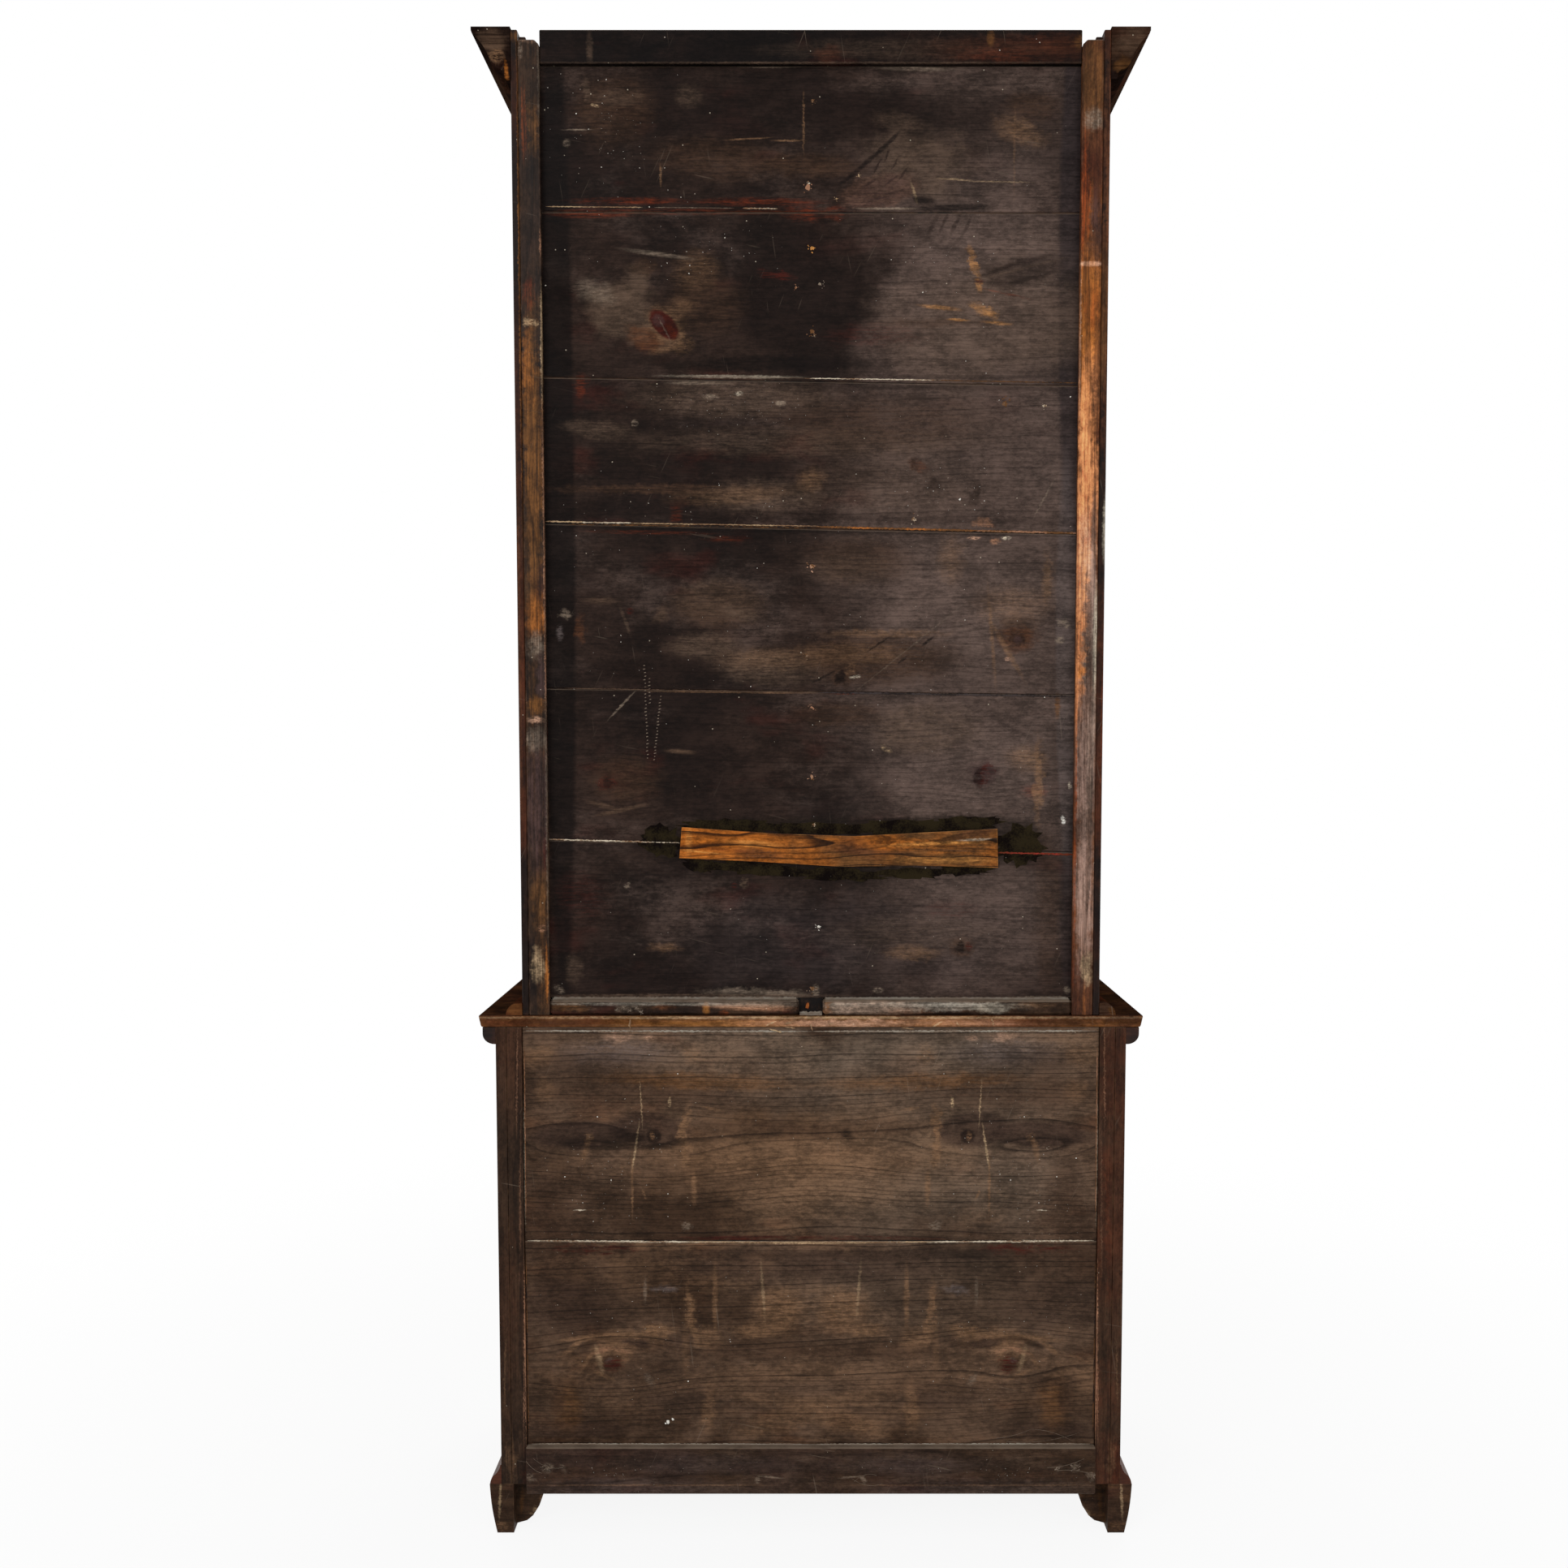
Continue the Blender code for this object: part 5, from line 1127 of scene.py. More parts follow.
# The ends of the waist moulding
WAIST_MARKS = (
    (1366, 1242, 14, 10, 0, "nut", 0.75, 0.5),
    (1371, 1246, 6, 4, 30, "bronze", 0.60, 0.4),
    (636, 1244, 14, 10, 0, "umbel", 0.60, 0.5),
)
# The rear feet
FOOT_MARKS = (
    (660, 1872, 7, 7, -50, "straw", 0.60, 0.5),
    (664, 1852, 2, 12, 8, "tan", 0.80, 0.5),
    (640, 1855, 3, 22, 4, "umbel", 0.70, 0.5),
    (645, 1840, 12, 8, 0, "stain", 0.60, 0.5),
    (616, 1846, 1.5, 24, 3, "straw", 0.60, 0.6),
    (620, 1880, 8, 6, 0, "tan", 0.50, 0.6),
    (628, 1810, 2, 18, 2, "tan", 0.60, 0.6),
)
# The ends of the cornice
CORNICE_MARKS = (
    (606, 50, 16, 14, 20, "nut", 0.70, 0.6),
    (611, 69, 9, 6, 30, "tan", 0.75, 0.6),
    (624, 89, 2.0, 12, -6, "amber", 0.70, 0.6),
    (1396, 50, 20, 14, -20, "nut", 0.75, 0.6),
    (1384, 80, 8, 8, -30, "umbel", 0.60, 0.6),
)
# What all polished walnut has in common
POLISHED = {"tint": "russet", "wear": "umbel", "short": 0.2}


def dress_cases():
    """The worktop, the mouldings, the feet and the boards inside."""
    dress(["worktop"], 80, "x", ("walnut", "umbel", "bronze"), 0.005, (WORKTOP_MARKS, BACK, False),
          dust=0.85, dirt="stain", roughness=(0.5, 0.7), shine=0.0, wear="clay", wear_share=0.9,
          tint="russet")
    dress(["cornice"], 90, "x", ("stain", "umber", "walnut"), 0.006, (CORNICE_MARKS, BACK, False),
          patches=0.35, roughness=(0.75, 0.9), relief=0.05, shine=0.0, wear_share=0.0, dust=0.2,
          crumbs=0.5, streaky=6.0, short=0.2)
    walnut = ("stain", "russet", "walnut")
    dress(["waist_moulding"], 91, "x", walnut, 0.006, (WAIST_MARKS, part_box("waist_moulding")[1].y, False),
          patches=0.35, roughness=(0.72, 0.88), shine=0.0, dust=0.2, dirt="stain", crumbs=0.5, deep=0.02,
          **POLISHED)
    dress(["worktop_moulding", "base_moulding"], 92, "x", walnut, 0.006, patches=0.35,
          roughness=(0.38, 0.55), gloss=0.15, dust=0.15, crumbs=0.5, **POLISHED)
    dress(both("rear_foot"), 100, "x", ("oak", "umber", "umbel"), 0.005, (FOOT_MARKS, BACK, True),
          wear_share=0.7, short=0.3, deep=0.03)
    dress(both("front_foot"), 102, "x", walnut, 0.005, patches=0.4, wear_share=0.5, gloss=0.1,
          streaky=6.0, crumbs=0.5, dust=0.2, **POLISHED)
    inside = ("lower_bottom_board", "upper_bottom_board", "upper_top_board",
              "upper_shelf_1", "upper_shelf_2", "upper_shelf_3")
    dress(inside, 110, "x", ("umber", "nut", "tan"), 0.006, dust=0.12, crumbs=0.5, tint="umbel")


def dress_front():
    """Walnut doors, rails and drawer front, with the pine drawer box."""
    doors = both("lower_door") + both("lower_door_panel") + both("upper_door")
    rails = ("drawer_front", "drawer_divider", "lower_front_rail", "frieze_board")
    for seed, order, names in ((130, "z", doors), (136, "x", rails)):
        dress(names, seed, order, ("russet", "walnut", "umbel"), 0.0055, waver=0.06, patches=0.35,
              scratches=0.10, specks=0.0, roughness=(0.28, 0.4), gloss=0.35, relief=0.12, streaky=6.0,
              crumbs=0.35, late_dark=0.6, wear_share=0.3, dust=0.1, **POLISHED)
    for seed, order, name in ((150, "y", "drawer_box"), (151, "x", "drawer_bottom")):
        dress([name], seed, order, ("clay", "clay", "straw"), 0.006, dust=0.0, crumbs=0.3, tint="bronze",
              late_dark=0.25, fibres=0.35, streaky=6.0, short=0.3, specks=0.0, wear="umbel")


def brass_material():
    """Old brass: brown in the hollows, rubbed bright at the edges."""
    material, tree, shader, point = new_material("old_brass")
    cloud = noise(tree, point, 140.0, 4.0, 0.6)
    rub = use(tree, WEAR, Point=point, Radius=0.0008, Broken=0.3)["Mask"]
    base = blend(tree, ramp(tree, cloud, 0.35, 0.65), colour(96, 74, 40), colour(150, 118, 62))
    feed_all(tree, shader, Base_Color=blend(tree, rub, base, colour(214, 180, 112)), Metallic=1.0,
             Roughness=ramp(tree, cloud, 0.3, 0.7, 0.28, 0.5))
    bump(tree, shader, cloud, 0.15, 0.0005)
    return material


def ebony_material():
    """Turned knobs, stained black and polished."""
    material, tree, shader, point = new_material("ebonised_knob")
    streak = noise(tree, vector_calc(tree, "MULTIPLY", point, (300.0, 20.0, 300.0)), 1.0, 3.0)
    rub = use(tree, WEAR, Point=point, Radius=0.0015, Broken=0.35)["Mask"]
    base = blend(tree, streak, tone("black"), tone("russet"))
    base = blend(tree, times(tree, rub, 0.4), base, tone("tan"))
    feed_all(tree, shader, Base_Color=base, Roughness=ramp(tree, streak, 0.3, 0.7, 0.28, 0.42),
             Specular_IOR_Level=0.3, Coat_Weight=0.12)
    bump(tree, shader, streak, 0.06, 0.0005)
    return material


def glass_material():
    """Old window glass with a slight waver."""
    material, tree, shader, point = new_material("window_glass")
    waver = noise(tree, vector_calc(tree, "MULTIPLY", point, (9.0, 9.0, 4.0)), 1.0, 1.0)
    feed_all(tree, shader, Transmission_Weight=1.0, IOR=1.45,
             Base_Color=blend(tree, waver, colour(240, 247, 243), colour(250, 252, 250)),
             Roughness=ramp(tree, waver, 0.3, 0.7, 0.0, 0.02))
    bump(tree, shader, waver, 0.25, 0.004)
    return material


def dress_fittings():
    """Hinges, knobs and glass."""
    brass = brass_material()
    make_hinges(brass)
    for word, material in (("hinge", brass), ("knob", ebony_material()), ("glass", glass_material())):
        for name in NODES:
            if word in name:
                finish(name, material)


# Loose and torn pieces, made as meshes on the faces that carry them

# How far a piece is let into its face, and how far it stands off it
SUNK = 0.0001
PROUD = {"flake": 0.0004, "crumb": 0.0005, "lint": 0.0006, "fibre": 0.0009, "splinter": 0.0010,
         "star": 0.0011, "chip": 0.0035, "web": 0.0003}
# One step along a torn ribbon and along a drift of dust, and the sides of a turned form
RIBBON_STEP = 0.0022
DRIFT_STEP = 0.0025
TURNED_SIDES = 24


def new_piece(name, build, material, body="case"):
    """Turns a bmesh into a piece that rides on a body."""
    bmesh.ops.recalc_face_normals(build, faces=build.faces)
    mesh = bpy.data.meshes.new(name)
    build.to_mesh(mesh)
    build.free()
    mesh.materials.append(material)
    piece = bpy.data.objects.new(name, mesh)
    bpy.context.scene.collection.objects.link(piece)
    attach(piece, body)
    return piece


def skin(build, rings):
    """Faces between rings of places that follow each other, closed at both ends."""
    rings = [[build.verts.new(place) for place in ring] for ring in rings]
    for here, after in zip(rings, rings[1:]):
        for corner in range(len(here)):
            beside = (corner + 1) % len(here)
            build.faces.new((here[corner], here[beside], after[beside], after[corner]))
    build.faces.new(rings[0])
    build.faces.new(rings[-1])


def add_block(build, low, high):
    """A small plate between two corners."""
    made = bmesh.ops.create_cube(build, size=1.0)["verts"]
    for vertex in made:
        vertex.co = [a + (b - a) * (part + 0.5) for a, b, part in zip(low, high, vertex.co)]


def add_turned(build, profile, x, y):
    """A turned form about an upright axis; the profile rows are (radius, level)."""
    turns = [math.tau * side / TURNED_SIDES for side in range(TURNED_SIDES)]
    skin(build, [[(x + radius * math.cos(turn), y + radius * math.sin(turn), level) for turn in turns]
                 for radius, level in profile])


def add_chip(build, draw, place, face, half, tall, proud, tilt=0.0, corners=6, ragged=0.3):
    """A flake with a ragged outline on a face that looks back, thickest in its middle."""
    x, z = place
    cosine, sine = math.cos(tilt), math.sin(tilt)
    reaches = [1.0 + draw.uniform(-ragged, ragged) for _ in range(corners)]
    rings = []
    for share, depth in ((1.0, -SUNK), (0.85, proud * 0.6)):
        ring = []
        for step, reach in enumerate(reaches):
            angle = math.tau * step / corners
            across = half * reach * share * math.cos(angle)
            up = tall * reach * share * math.sin(angle)
            ring.append(build.verts.new((x + across * cosine - up * sine, face + depth,
                                         z + across * sine + up * cosine)))
        rings.append(ring)
    top = build.verts.new((x, face + proud, z))
    build.faces.new(rings[0])
    for here in range(corners):
        after = (here + 1) % corners
        build.faces.new((rings[0][here], rings[0][after], rings[1][after], rings[1][here]))
        build.faces.new((rings[1][here], rings[1][after], top))


def add_ribbon(build, draw, start, end, face, half, proud):
    """A torn strip of fibres between two places on an upright face, ragged along its edges."""
    span = math.dist(start, end)
    aside, above = (start[1] - end[1]) / span, (end[0] - start[0]) / span
    steps = max(6, int(span / RIBBON_STEP))
    rings = []
    for step in range(steps + 1):
        share = step / steps
        x = start[0] + share * (end[0] - start[0])
        z = start[1] + share * (end[1] - start[1])
        taper = min(1.0, 0.2 + 10.0 * min(share, 1.0 - share))
        low, high = (half * taper * draw.uniform(0.4, 1.3) for _ in range(2))
        lift = proud * draw.uniform(0.4, 1.0)
        section = ((-low, -SUNK), (-0.8 * low, 0.5 * lift), (0.0, lift), (0.8 * high, 0.5 * lift),
                   (high, -SUNK))
        rings.append([(x + off * aside, face + depth, z + off * above) for off, depth in section])
    skin(build, rings)


def add_thread(build, points, radius):
    """A thin thread with four sides through some points."""
    rings = []
    for number, point in enumerate(points):
        ahead = points[min(number + 1, len(points) - 1)] - points[max(number - 1, 0)]
        first = ahead.cross(Vector((0.0, 1.0, 0.0))).normalized()
        second = ahead.cross(first).normalized()
        rings.append([point + radius * way for way in (first, second, -first, -second)])
    skin(build, rings)


def add_drift(build, draw, start, end, back, front, level, height):
    """Dust drifted against an upright face along a ledge, from one x to another."""
    steps = max(8, int(abs(end - start) / DRIFT_STEP))
    rings = []
    for step in range(steps + 1):
        x = start + (end - start) * step / steps
        rise = height * draw.uniform(0.55, 1.0)
        toe = front - draw.uniform(0.0, 0.0008)
        section = ((back, level - SUNK), (back, level + rise),
                   (0.7 * back + 0.3 * toe, level + 0.55 * rise),
                   (0.3 * back + 0.7 * toe, level + 0.25 * rise), (toe, level + 0.0002),
                   (toe, level - SUNK))
        rings.append([(x, y, z) for y, z in section])
    skin(build, rings)


def flake_material(name, dark, light, scale=300.0, roughness=0.8, shine=0.2):
    """Plaster, wax or torn wood in small pieces, uneven in colour."""
    material, tree, shader, point = new_material(name)
    cloud = noise(tree, point, scale, 3.0, 0.6)
    share = calc(tree, "MULTIPLY_ADD", noise(tree, point, scale / 12), 0.6, times(tree, cloud, 0.4))
    base = blend(tree, ramp(tree, share, 0.40, 0.60), tone(dark), tone(light))
    feed_all(tree, shader, Base_Color=base, Roughness=roughness, Specular_IOR_Level=shine)
    bump(tree, shader, cloud, 0.4, 0.0006)
    return material


# Torn fibres along the seams: from column, row to column, row, half height in pixels, tone, which face
SEAM_FIBRES = (
    (672, 254.5, 792, 255.5, 0.7, "straw", "upper"),
    (806, 255.6, 905, 256.6, 0.6, "ash", "upper"),
    (915, 256.6, 958, 257.2, 0.9, "glint", "upper"),
    (1058, 257.5, 1129, 257.5, 0.6, "ash", "upper"),
    (830, 463.5, 1000, 466.0, 0.6, "ash", "upper"),
    (990, 466.0, 1160, 468.5, 0.8, "glint", "upper"),
    (1150, 468.5, 1335, 472.0, 0.7, "umbel", "upper"),
    (672, 642.5, 720, 643.3, 1.0, "straw", "upper"),
    (714, 643.5, 780, 644.6, 1.0, "glint", "upper"),
    (700, 646.0, 1012, 650.6, 0.9, "umbel", "upper"),
    (775, 644.6, 1012, 648.4, 0.8, "straw", "upper"),
    (1005, 649.0, 1210, 654.0, 1.3, "amber", "upper"),
    (1200, 654.0, 1332, 657.0, 1.3, "clay", "upper"),
    (695, 848.0, 822, 850.2, 0.7, "nut", "upper"),
    (815, 850.2, 1012, 853.0, 0.8, "nut", "upper"),
    (1005, 853.2, 1332, 858.2, 1.3, "lead", "upper"),
    (672, 1034.0, 842, 1038.6, 1.0, "glint", "upper"),
    (836, 1038.4, 1232, 1050.5, 1.3, "stain", "upper"),
    (1228, 1050.5, 1325, 1053.0, 1.4, "red", "upper"),
    (650, 1528.6, 850, 1530.0, 0.9, "glint", "lower"),
    (846, 1530.0, 999, 1531.2, 0.8, "straw", "lower"),
    (655, 1779.2, 999, 1779.8, 1.3, "dust", "lower"),
    (646, 1270.2, 999, 1270.8, 1.2, "dust", "lower"),
    (646, 1290.0, 648, 1500.0, 0.7, "clay", "lower"),
    (648, 1545.0, 651.5, 1772.0, 0.7, "umbel", "lower"),
)
# The darker tone under each tone of torn fibres
TORN_DARK = {"straw": "tan", "glint": "tan", "amber": "umbel", "ash": "smoke", "clay": "umbel",
             "nut": "umber", "stain": "black", "red": "brick", "umbel": "stain", "lead": "stain",
             "dust": "ash"}


def make_seam_fibres():
    """Torn fibres that stand in the seams between the boards, one piece for each tone."""
    for name in sorted({row[5] for row in SEAM_FIBRES}):
        draw = random.Random(RANDOM_START + len(name))
        build = bmesh.new()
        for first, row_a, last, row_b, half, kind, where in SEAM_FIBRES:
            if kind != name:
                continue
            face, mirrored = FACES[where], where == "lower"
            for start, end in zip(places(first, mirrored), places(last, mirrored)):
                add_ribbon(build, draw, seen_at(start, row_a, face), seen_at(end, row_b, face), face,
                           half * PIXEL, PROUD["fibre"])
        new_piece("seam_fibres_" + name, build, flake_material("torn_" + name, TORN_DARK[name], name))


# The filling of a seam: two depths below the boards' face, its lap into the lower board, and its height
FILL_DEEP = 0.006
FILL_SHALLOW = 0.0012
FILL_LAP = 0.0004
FILL_HIGH = 0.0056
# Corners this near to a board's end belong to that end
NEAR = 0.001


def top_edge(name):
    """The levels of a board's upper edge at its two ends, as (x, z) places."""
    corners = [vertex.co for vertex in NODES[name].data.vertices]
    ends = [min(corner.x for corner in corners), max(corner.x for corner in corners)]
    return [(x, max(corner.z for corner in corners if abs(corner.x - x) < NEAR)) for x in ends]


def make_seam_dirt():
    """Old dirt and glue pressed into the open seams, a little below the faces of the boards."""
    build = bmesh.new()
    boards = [(f"upper_back_board_{number}", UPPER_FACE) for number in range(1, 6)]
    for name, face in boards + [("lower_back_board_1", LOWER_FACE)]:
        section = ((face - FILL_DEEP, -FILL_LAP), (face - FILL_DEEP, FILL_HIGH),
                   (face - FILL_SHALLOW, FILL_HIGH), (face - FILL_SHALLOW, -FILL_LAP))
        skin(build, [[(x, y, z + up) for y, up in section] for x, z in top_edge(name)])
    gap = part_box("rear_cleat_left")[1].x
    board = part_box("upper_back_board_1")[0]
    add_block(build, (gap + SUNK, board.y + SUNK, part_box("worktop")[1].z + SUNK),
              (-gap - SUNK, UPPER_FACE - FILL_SHALLOW, board.z - SUNK))
    new_piece("seam_dirt", build, flake_material("old_dirt", "black", "umber", 90.0, 0.9))


# Glue squeezed out about the repair strip: column, row, half width, half height in pixels, tilt
GLUE_BLOTS = (
    (816, 1037, 27, 20, 0), (900, 1018, 70, 9, 1), (1010, 1021, 80, 8, 1), (1110, 1019, 60, 10, -1),
    (1190, 1014, 54, 9, -4), (1256, 1040, 32, 26, 0), (930, 1070, 66, 8, 4), (1030, 1077, 60, 8, 2),
    (1120, 1076, 46, 7, 0), (1190, 1072, 40, 7, -2), (862, 1066, 20, 9, 10),
)


def make_glue():
    """A thin ragged film of dark glue round the repair strip."""
    draw = random.Random(RANDOM_START + 7)
    build = bmesh.new()
    for column, row, half, tall, tilt in GLUE_BLOTS:
        add_chip(build, draw, seen_at(column, row, UPPER_FACE), UPPER_FACE, half * PIXEL, tall * PIXEL,
                 PROUD["flake"], math.radians(tilt), corners=34, ragged=0.26)
    new_piece("glue_film", build, flake_material("old_glue", "black", "moss", 420.0, 0.95, 0.03))


# Trails of short ticks left by a toothed tool: column, row of both ends, how many
TICK_TRAILS = ((794, 820, 798, 934, 27), (814, 858, 806, 936, 21), (800, 836, 801, 866, 8))


def make_tick_trails():
    """Rows of short pale ticks across the fourth seam."""
    draw = random.Random(RANDOM_START + 5)
    build = bmesh.new()
    for first, row_a, last, row_b, count in TICK_TRAILS:
        for step in range(count):
            share = step / (count - 1)
            place = seen_at(first + share * (last - first) + draw.uniform(-0.6, 0.6),
                            row_a + share * (row_b - row_a), UPPER_FACE)
            add_chip(build, draw, place, UPPER_FACE, draw.uniform(0.9, 2.0) * PIXEL, 0.6 * PIXEL,
                     PROUD["flake"], math.radians(-12), ragged=0.2)
    new_piece("tick_trails", build, flake_material("tick", "smoke", "ash"))


# Chips and nail stars down the middle: column, row, radius in pixels, tone
NAIL_STARS = (
    (1001, 124, 2.0, "ash"), (995, 231, 3.4, "clay"), (997, 226, 1.5, "glint"),
    (1001, 306, 3.2, "honey"), (1010, 350, 2.6, "ash"), (1001, 409, 3.4, "clay"),
    (1003, 413, 1.5, "glint"), (1001, 698, 4.0, "blush"), (994, 808, 2.8, "ash"),
    (1001, 872, 2.4, "clay"), (1000, 957, 3.0, "blush"), (1009, 1142, 2.6, "white"),
    (1001, 1218, 3.4, "glint"), (981, 354, 2.0, "clay"), (1031, 245, 1.8, "straw"),
    (1058, 216, 1.6, "straw"), (1287, 500, 2.2, "glint"), (1238, 497, 4.0, "ash"),
    (1126, 640, 3.0, "glint"), (1003, 1016, 2.2, "glint"),
)


def make_nail_stars():
    """Splintered stars where nails were driven from the back, one piece for each tone."""
    for name in sorted({row[3] for row in NAIL_STARS}):
        draw = random.Random(RANDOM_START + 2 * len(name))
        build = bmesh.new()
        for column, row, radius, kind in NAIL_STARS:
            if kind != name:
                continue
            x, z = seen_at(column, row, UPPER_FACE)
            radius *= PIXEL
            add_chip(build, draw, (x, z), UPPER_FACE, radius, 0.8 * radius, PROUD["star"],
                     draw.uniform(0, 1.5), corners=11, ragged=0.5)
            for _ in range(5):
                away = radius * draw.uniform(1.2, 2.4)
                turn = draw.uniform(0, math.tau)
                add_chip(build, draw, (x + away * math.cos(turn), z + away * math.sin(turn)), UPPER_FACE,
                         0.25 * radius, 0.2 * radius, PROUD["crumb"])
        new_piece("nail_stars_" + name, build, flake_material("star_" + name, "umbel", name))


# Pale flecks, each a column, a row and a radius in pixels
UPPER_FLECKS = (
    (691, 91, 0.9), (675, 108, 0.8), (675, 133, 0.9), (747, 98, 1.0), (737, 99, 0.8), (715, 110, 1.0),
    (745, 118, 0.9), (742, 127, 0.8), (710, 140, 1.0), (725, 159, 0.9), (746, 175, 0.9),
    (749, 189, 0.9), (822, 324, 1.2), (849, 337, 1.4), (846, 310, 0.9), (850, 327, 1.0),
    (866, 311, 0.8), (893, 293, 1.2), (839, 243, 1.2), (788, 207, 0.9), (819, 207, 0.8),
    (741, 206, 0.9), (714, 207, 0.8), (713, 214, 0.8), (823, 234, 0.8), (856, 239, 0.9),
    (672, 352, 1.3), (667, 357, 1.4), (800, 255, 1.2), (1116, 323, 1.2), (1146, 305, 0.9),
    (1137, 360, 1.2), (1098, 320, 0.8), (710, 660, 0.9), (799, 620, 1.0), (886, 598, 1.0),
    (851, 631, 0.9), (948, 624, 1.0), (949, 613, 0.8), (941, 694, 0.9), (933, 700, 0.8),
    (765, 783, 1.1), (765, 791, 0.8), (925, 846, 0.9), (795, 636, 0.8), (1150, 605, 0.9),
    (1163, 603, 1.0), (1183, 615, 2.2), (1189, 622, 1.3), (1213, 617, 0.9), (1201, 628, 0.9),
    (1168, 589, 1.0), (1055, 584, 0.9), (1213, 577, 0.8), (1287, 859, 1.2), (1164, 833, 0.9),
    (1147, 850, 0.9), (1189, 764, 1.0), (1281, 52, 1.0), (1277, 48, 0.8), (1232, 62, 1.1),
    (819, 46, 1.0), (1190, 445, 1.0), (1215, 460, 0.9), (1223, 473, 0.8), (1319, 489, 1.2),
    (1231, 493, 0.9), (1212, 403, 0.8),
)
LOWER_FLECKS = (
    (672, 1427, 1.2), (696, 1450, 1.2), (753, 1454, 1.6), (766, 1447, 1.0), (718, 1482, 1.1),
    (731, 1505, 1.2), (736, 1376, 1.0), (835, 1323, 0.9), (823, 1499, 0.9), (770, 1354, 1.0),
    (823, 1471, 0.9), (823, 1752, 3.6), (829, 1749, 2.8), (820, 1754, 2.0), (848, 1702, 1.4),
    (900, 1653, 0.9), (975, 1262, 0.9),
)
# Where stray flecks gather: middle column and row, reach in columns and rows, how many
FLECK_CLOUDS = {
    "upper": ((760, 180, 90, 90, 60), (880, 300, 130, 60, 50), (905, 500, 130, 34, 90),
              (1160, 320, 130, 90, 50), (1150, 610, 120, 50, 60), (850, 640, 180, 60, 50),
              (1100, 800, 200, 120, 60), (850, 820, 150, 120, 40), (1000, 1130, 300, 90, 50),
              (1180, 970, 120, 60, 30)),
    "lower": ((760, 1420, 100, 110, 90), (800, 1650, 140, 100, 70), (700, 1500, 50, 60, 24),
              (930, 1350, 70, 60, 24), (780, 1815, 130, 18, 40)),
}
# No fleck lies further than this from the middle
FLECK_REACH = {"upper": 0.392, "lower": 0.425}
# The photograph's rows where the top rail ends and the bottom rail begins
TOP_RAIL_ROW = 76
RAIL_ROW = 1783
# Flecks from this radius up are spots of wax, which aren't mirrored
WAX = 1.8
# Flecks are made a little smaller than they read
FLECK_SHARE = 0.8


def make_flecks():
    """Pale flecks on the boards: the larger ones at their places, the small ones strewn in clouds."""
    flake = flake_material("pale_flake", "ash", "white", 900.0)
    for where, rows in (("upper", UPPER_FLECKS), ("lower", LOWER_FLECKS)):
        draw = random.Random(RANDOM_START + len(rows))
        build = bmesh.new()
        spots = list(rows)
        for column, row, wide, high, count in FLECK_CLOUDS[where]:
            spots += [(draw.gauss(column, wide / 2), draw.gauss(row, high / 2), draw.uniform(0.2, 0.6))
                      for _ in range(count)]
        if where == "lower":
            spots += [(2 * CENTRE_COLUMN - column, row, radius)
                      for column, row, radius in spots if radius < WAX]
        for column, row, radius in spots:
            face = FACES[where]
            if where == "lower" and row > RAIL_ROW:
                face = RAIL_FACE
            elif row < TOP_RAIL_ROW:
                face = BACK
            x, z = seen_at(column, row, face)
            if abs(x) < FLECK_REACH[where]:
                radius *= FLECK_SHARE * PIXEL
                add_chip(build, draw, (x, z), face, radius, radius * draw.uniform(0.6, 1.1),
                         PROUD["flake"], draw.uniform(0, 3), corners=5, ragged=0.35)
        new_piece("pale_flecks_" + where, build, flake)


# How high dust has drifted against each block and in the gap between them
DRIFT_RISE = {"rear_cleat_left": 0.0020, "rear_cleat_right": 0.0026}
GAP_RISE = 0.005
# The places of a tuft of threads on a block, as columns and rows, and the radii of threads
TUFT = ((760, 1244), (768, 1241), (776, 1245), (784, 1242), (790, 1247))
TUFT_THREAD = 0.00018
WEB_THREAD = 0.00022


def make_ledge_dust():
    """Grey dust drifted along the blocks on the worktop and in the gap between them, and then the tuft."""
    dusty = flake_material("grey_dust", "ash", "dust", 120.0, 0.95)
    draw = random.Random(RANDOM_START + 61)
    build = bmesh.new()
    back = UPPER_FACE + SUNK
    for name, rise in DRIFT_RISE.items():
        low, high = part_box(name)
        add_drift(build, draw, low.x + 0.004, high.x - 0.004, back, high.y - 0.0012, high.z, rise)
    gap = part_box("rear_cleat_left")[1].x
    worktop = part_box("worktop")[1]
    add_drift(build, draw, gap + 0.001, -gap - 0.001, back, worktop.y - 0.002, worktop.z, GAP_RISE)
    new_piece("ledge_dust", build, dusty)
    make_cobweb_tuft(draw, dusty)


def make_cobweb_tuft(draw, dusty):
    """A tuft of short curved threads on the block at the photograph's left."""
    build = bmesh.new()
    for column, row in TUFT:
        x, z = seen_at(column, row, BACK)
        for _ in range(9):
            turn = draw.uniform(0, math.tau)
            reach = draw.uniform(0.003, 0.009)
            bend = draw.uniform(-0.7, 0.7)
            points = []
            for step in range(6):
                angle = turn + bend * step / 5
                away = reach * (step / 5 - 0.5)
                points.append(Vector((x + away * math.cos(angle), BACK + 0.0002 + 0.0005 * draw.random(),
                                      z + away * math.sin(angle))))
            add_thread(build, points, TUFT_THREAD)
    new_piece("cobweb_tuft", build, dusty)


# Long threads of cobweb on and above the bottom rail: column, row of both ends, sag in pixels
WEB_LINES = (
    (1227, 1772, 1270, 1761, 2), (1270, 1761, 1324, 1777, -4), (1240, 1776, 1330, 1765, 5),
    (1290, 1808, 1336, 1797, 3), (1303, 1812, 1350, 1818, -3), (1319, 1812, 1331, 1803, 1),
    (1046, 1819, 1087, 1828, 6), (1052, 1826, 1080, 1818, -5), (648, 1800, 668, 1815, 3),
    (657, 1797, 694, 1808, 5),
)
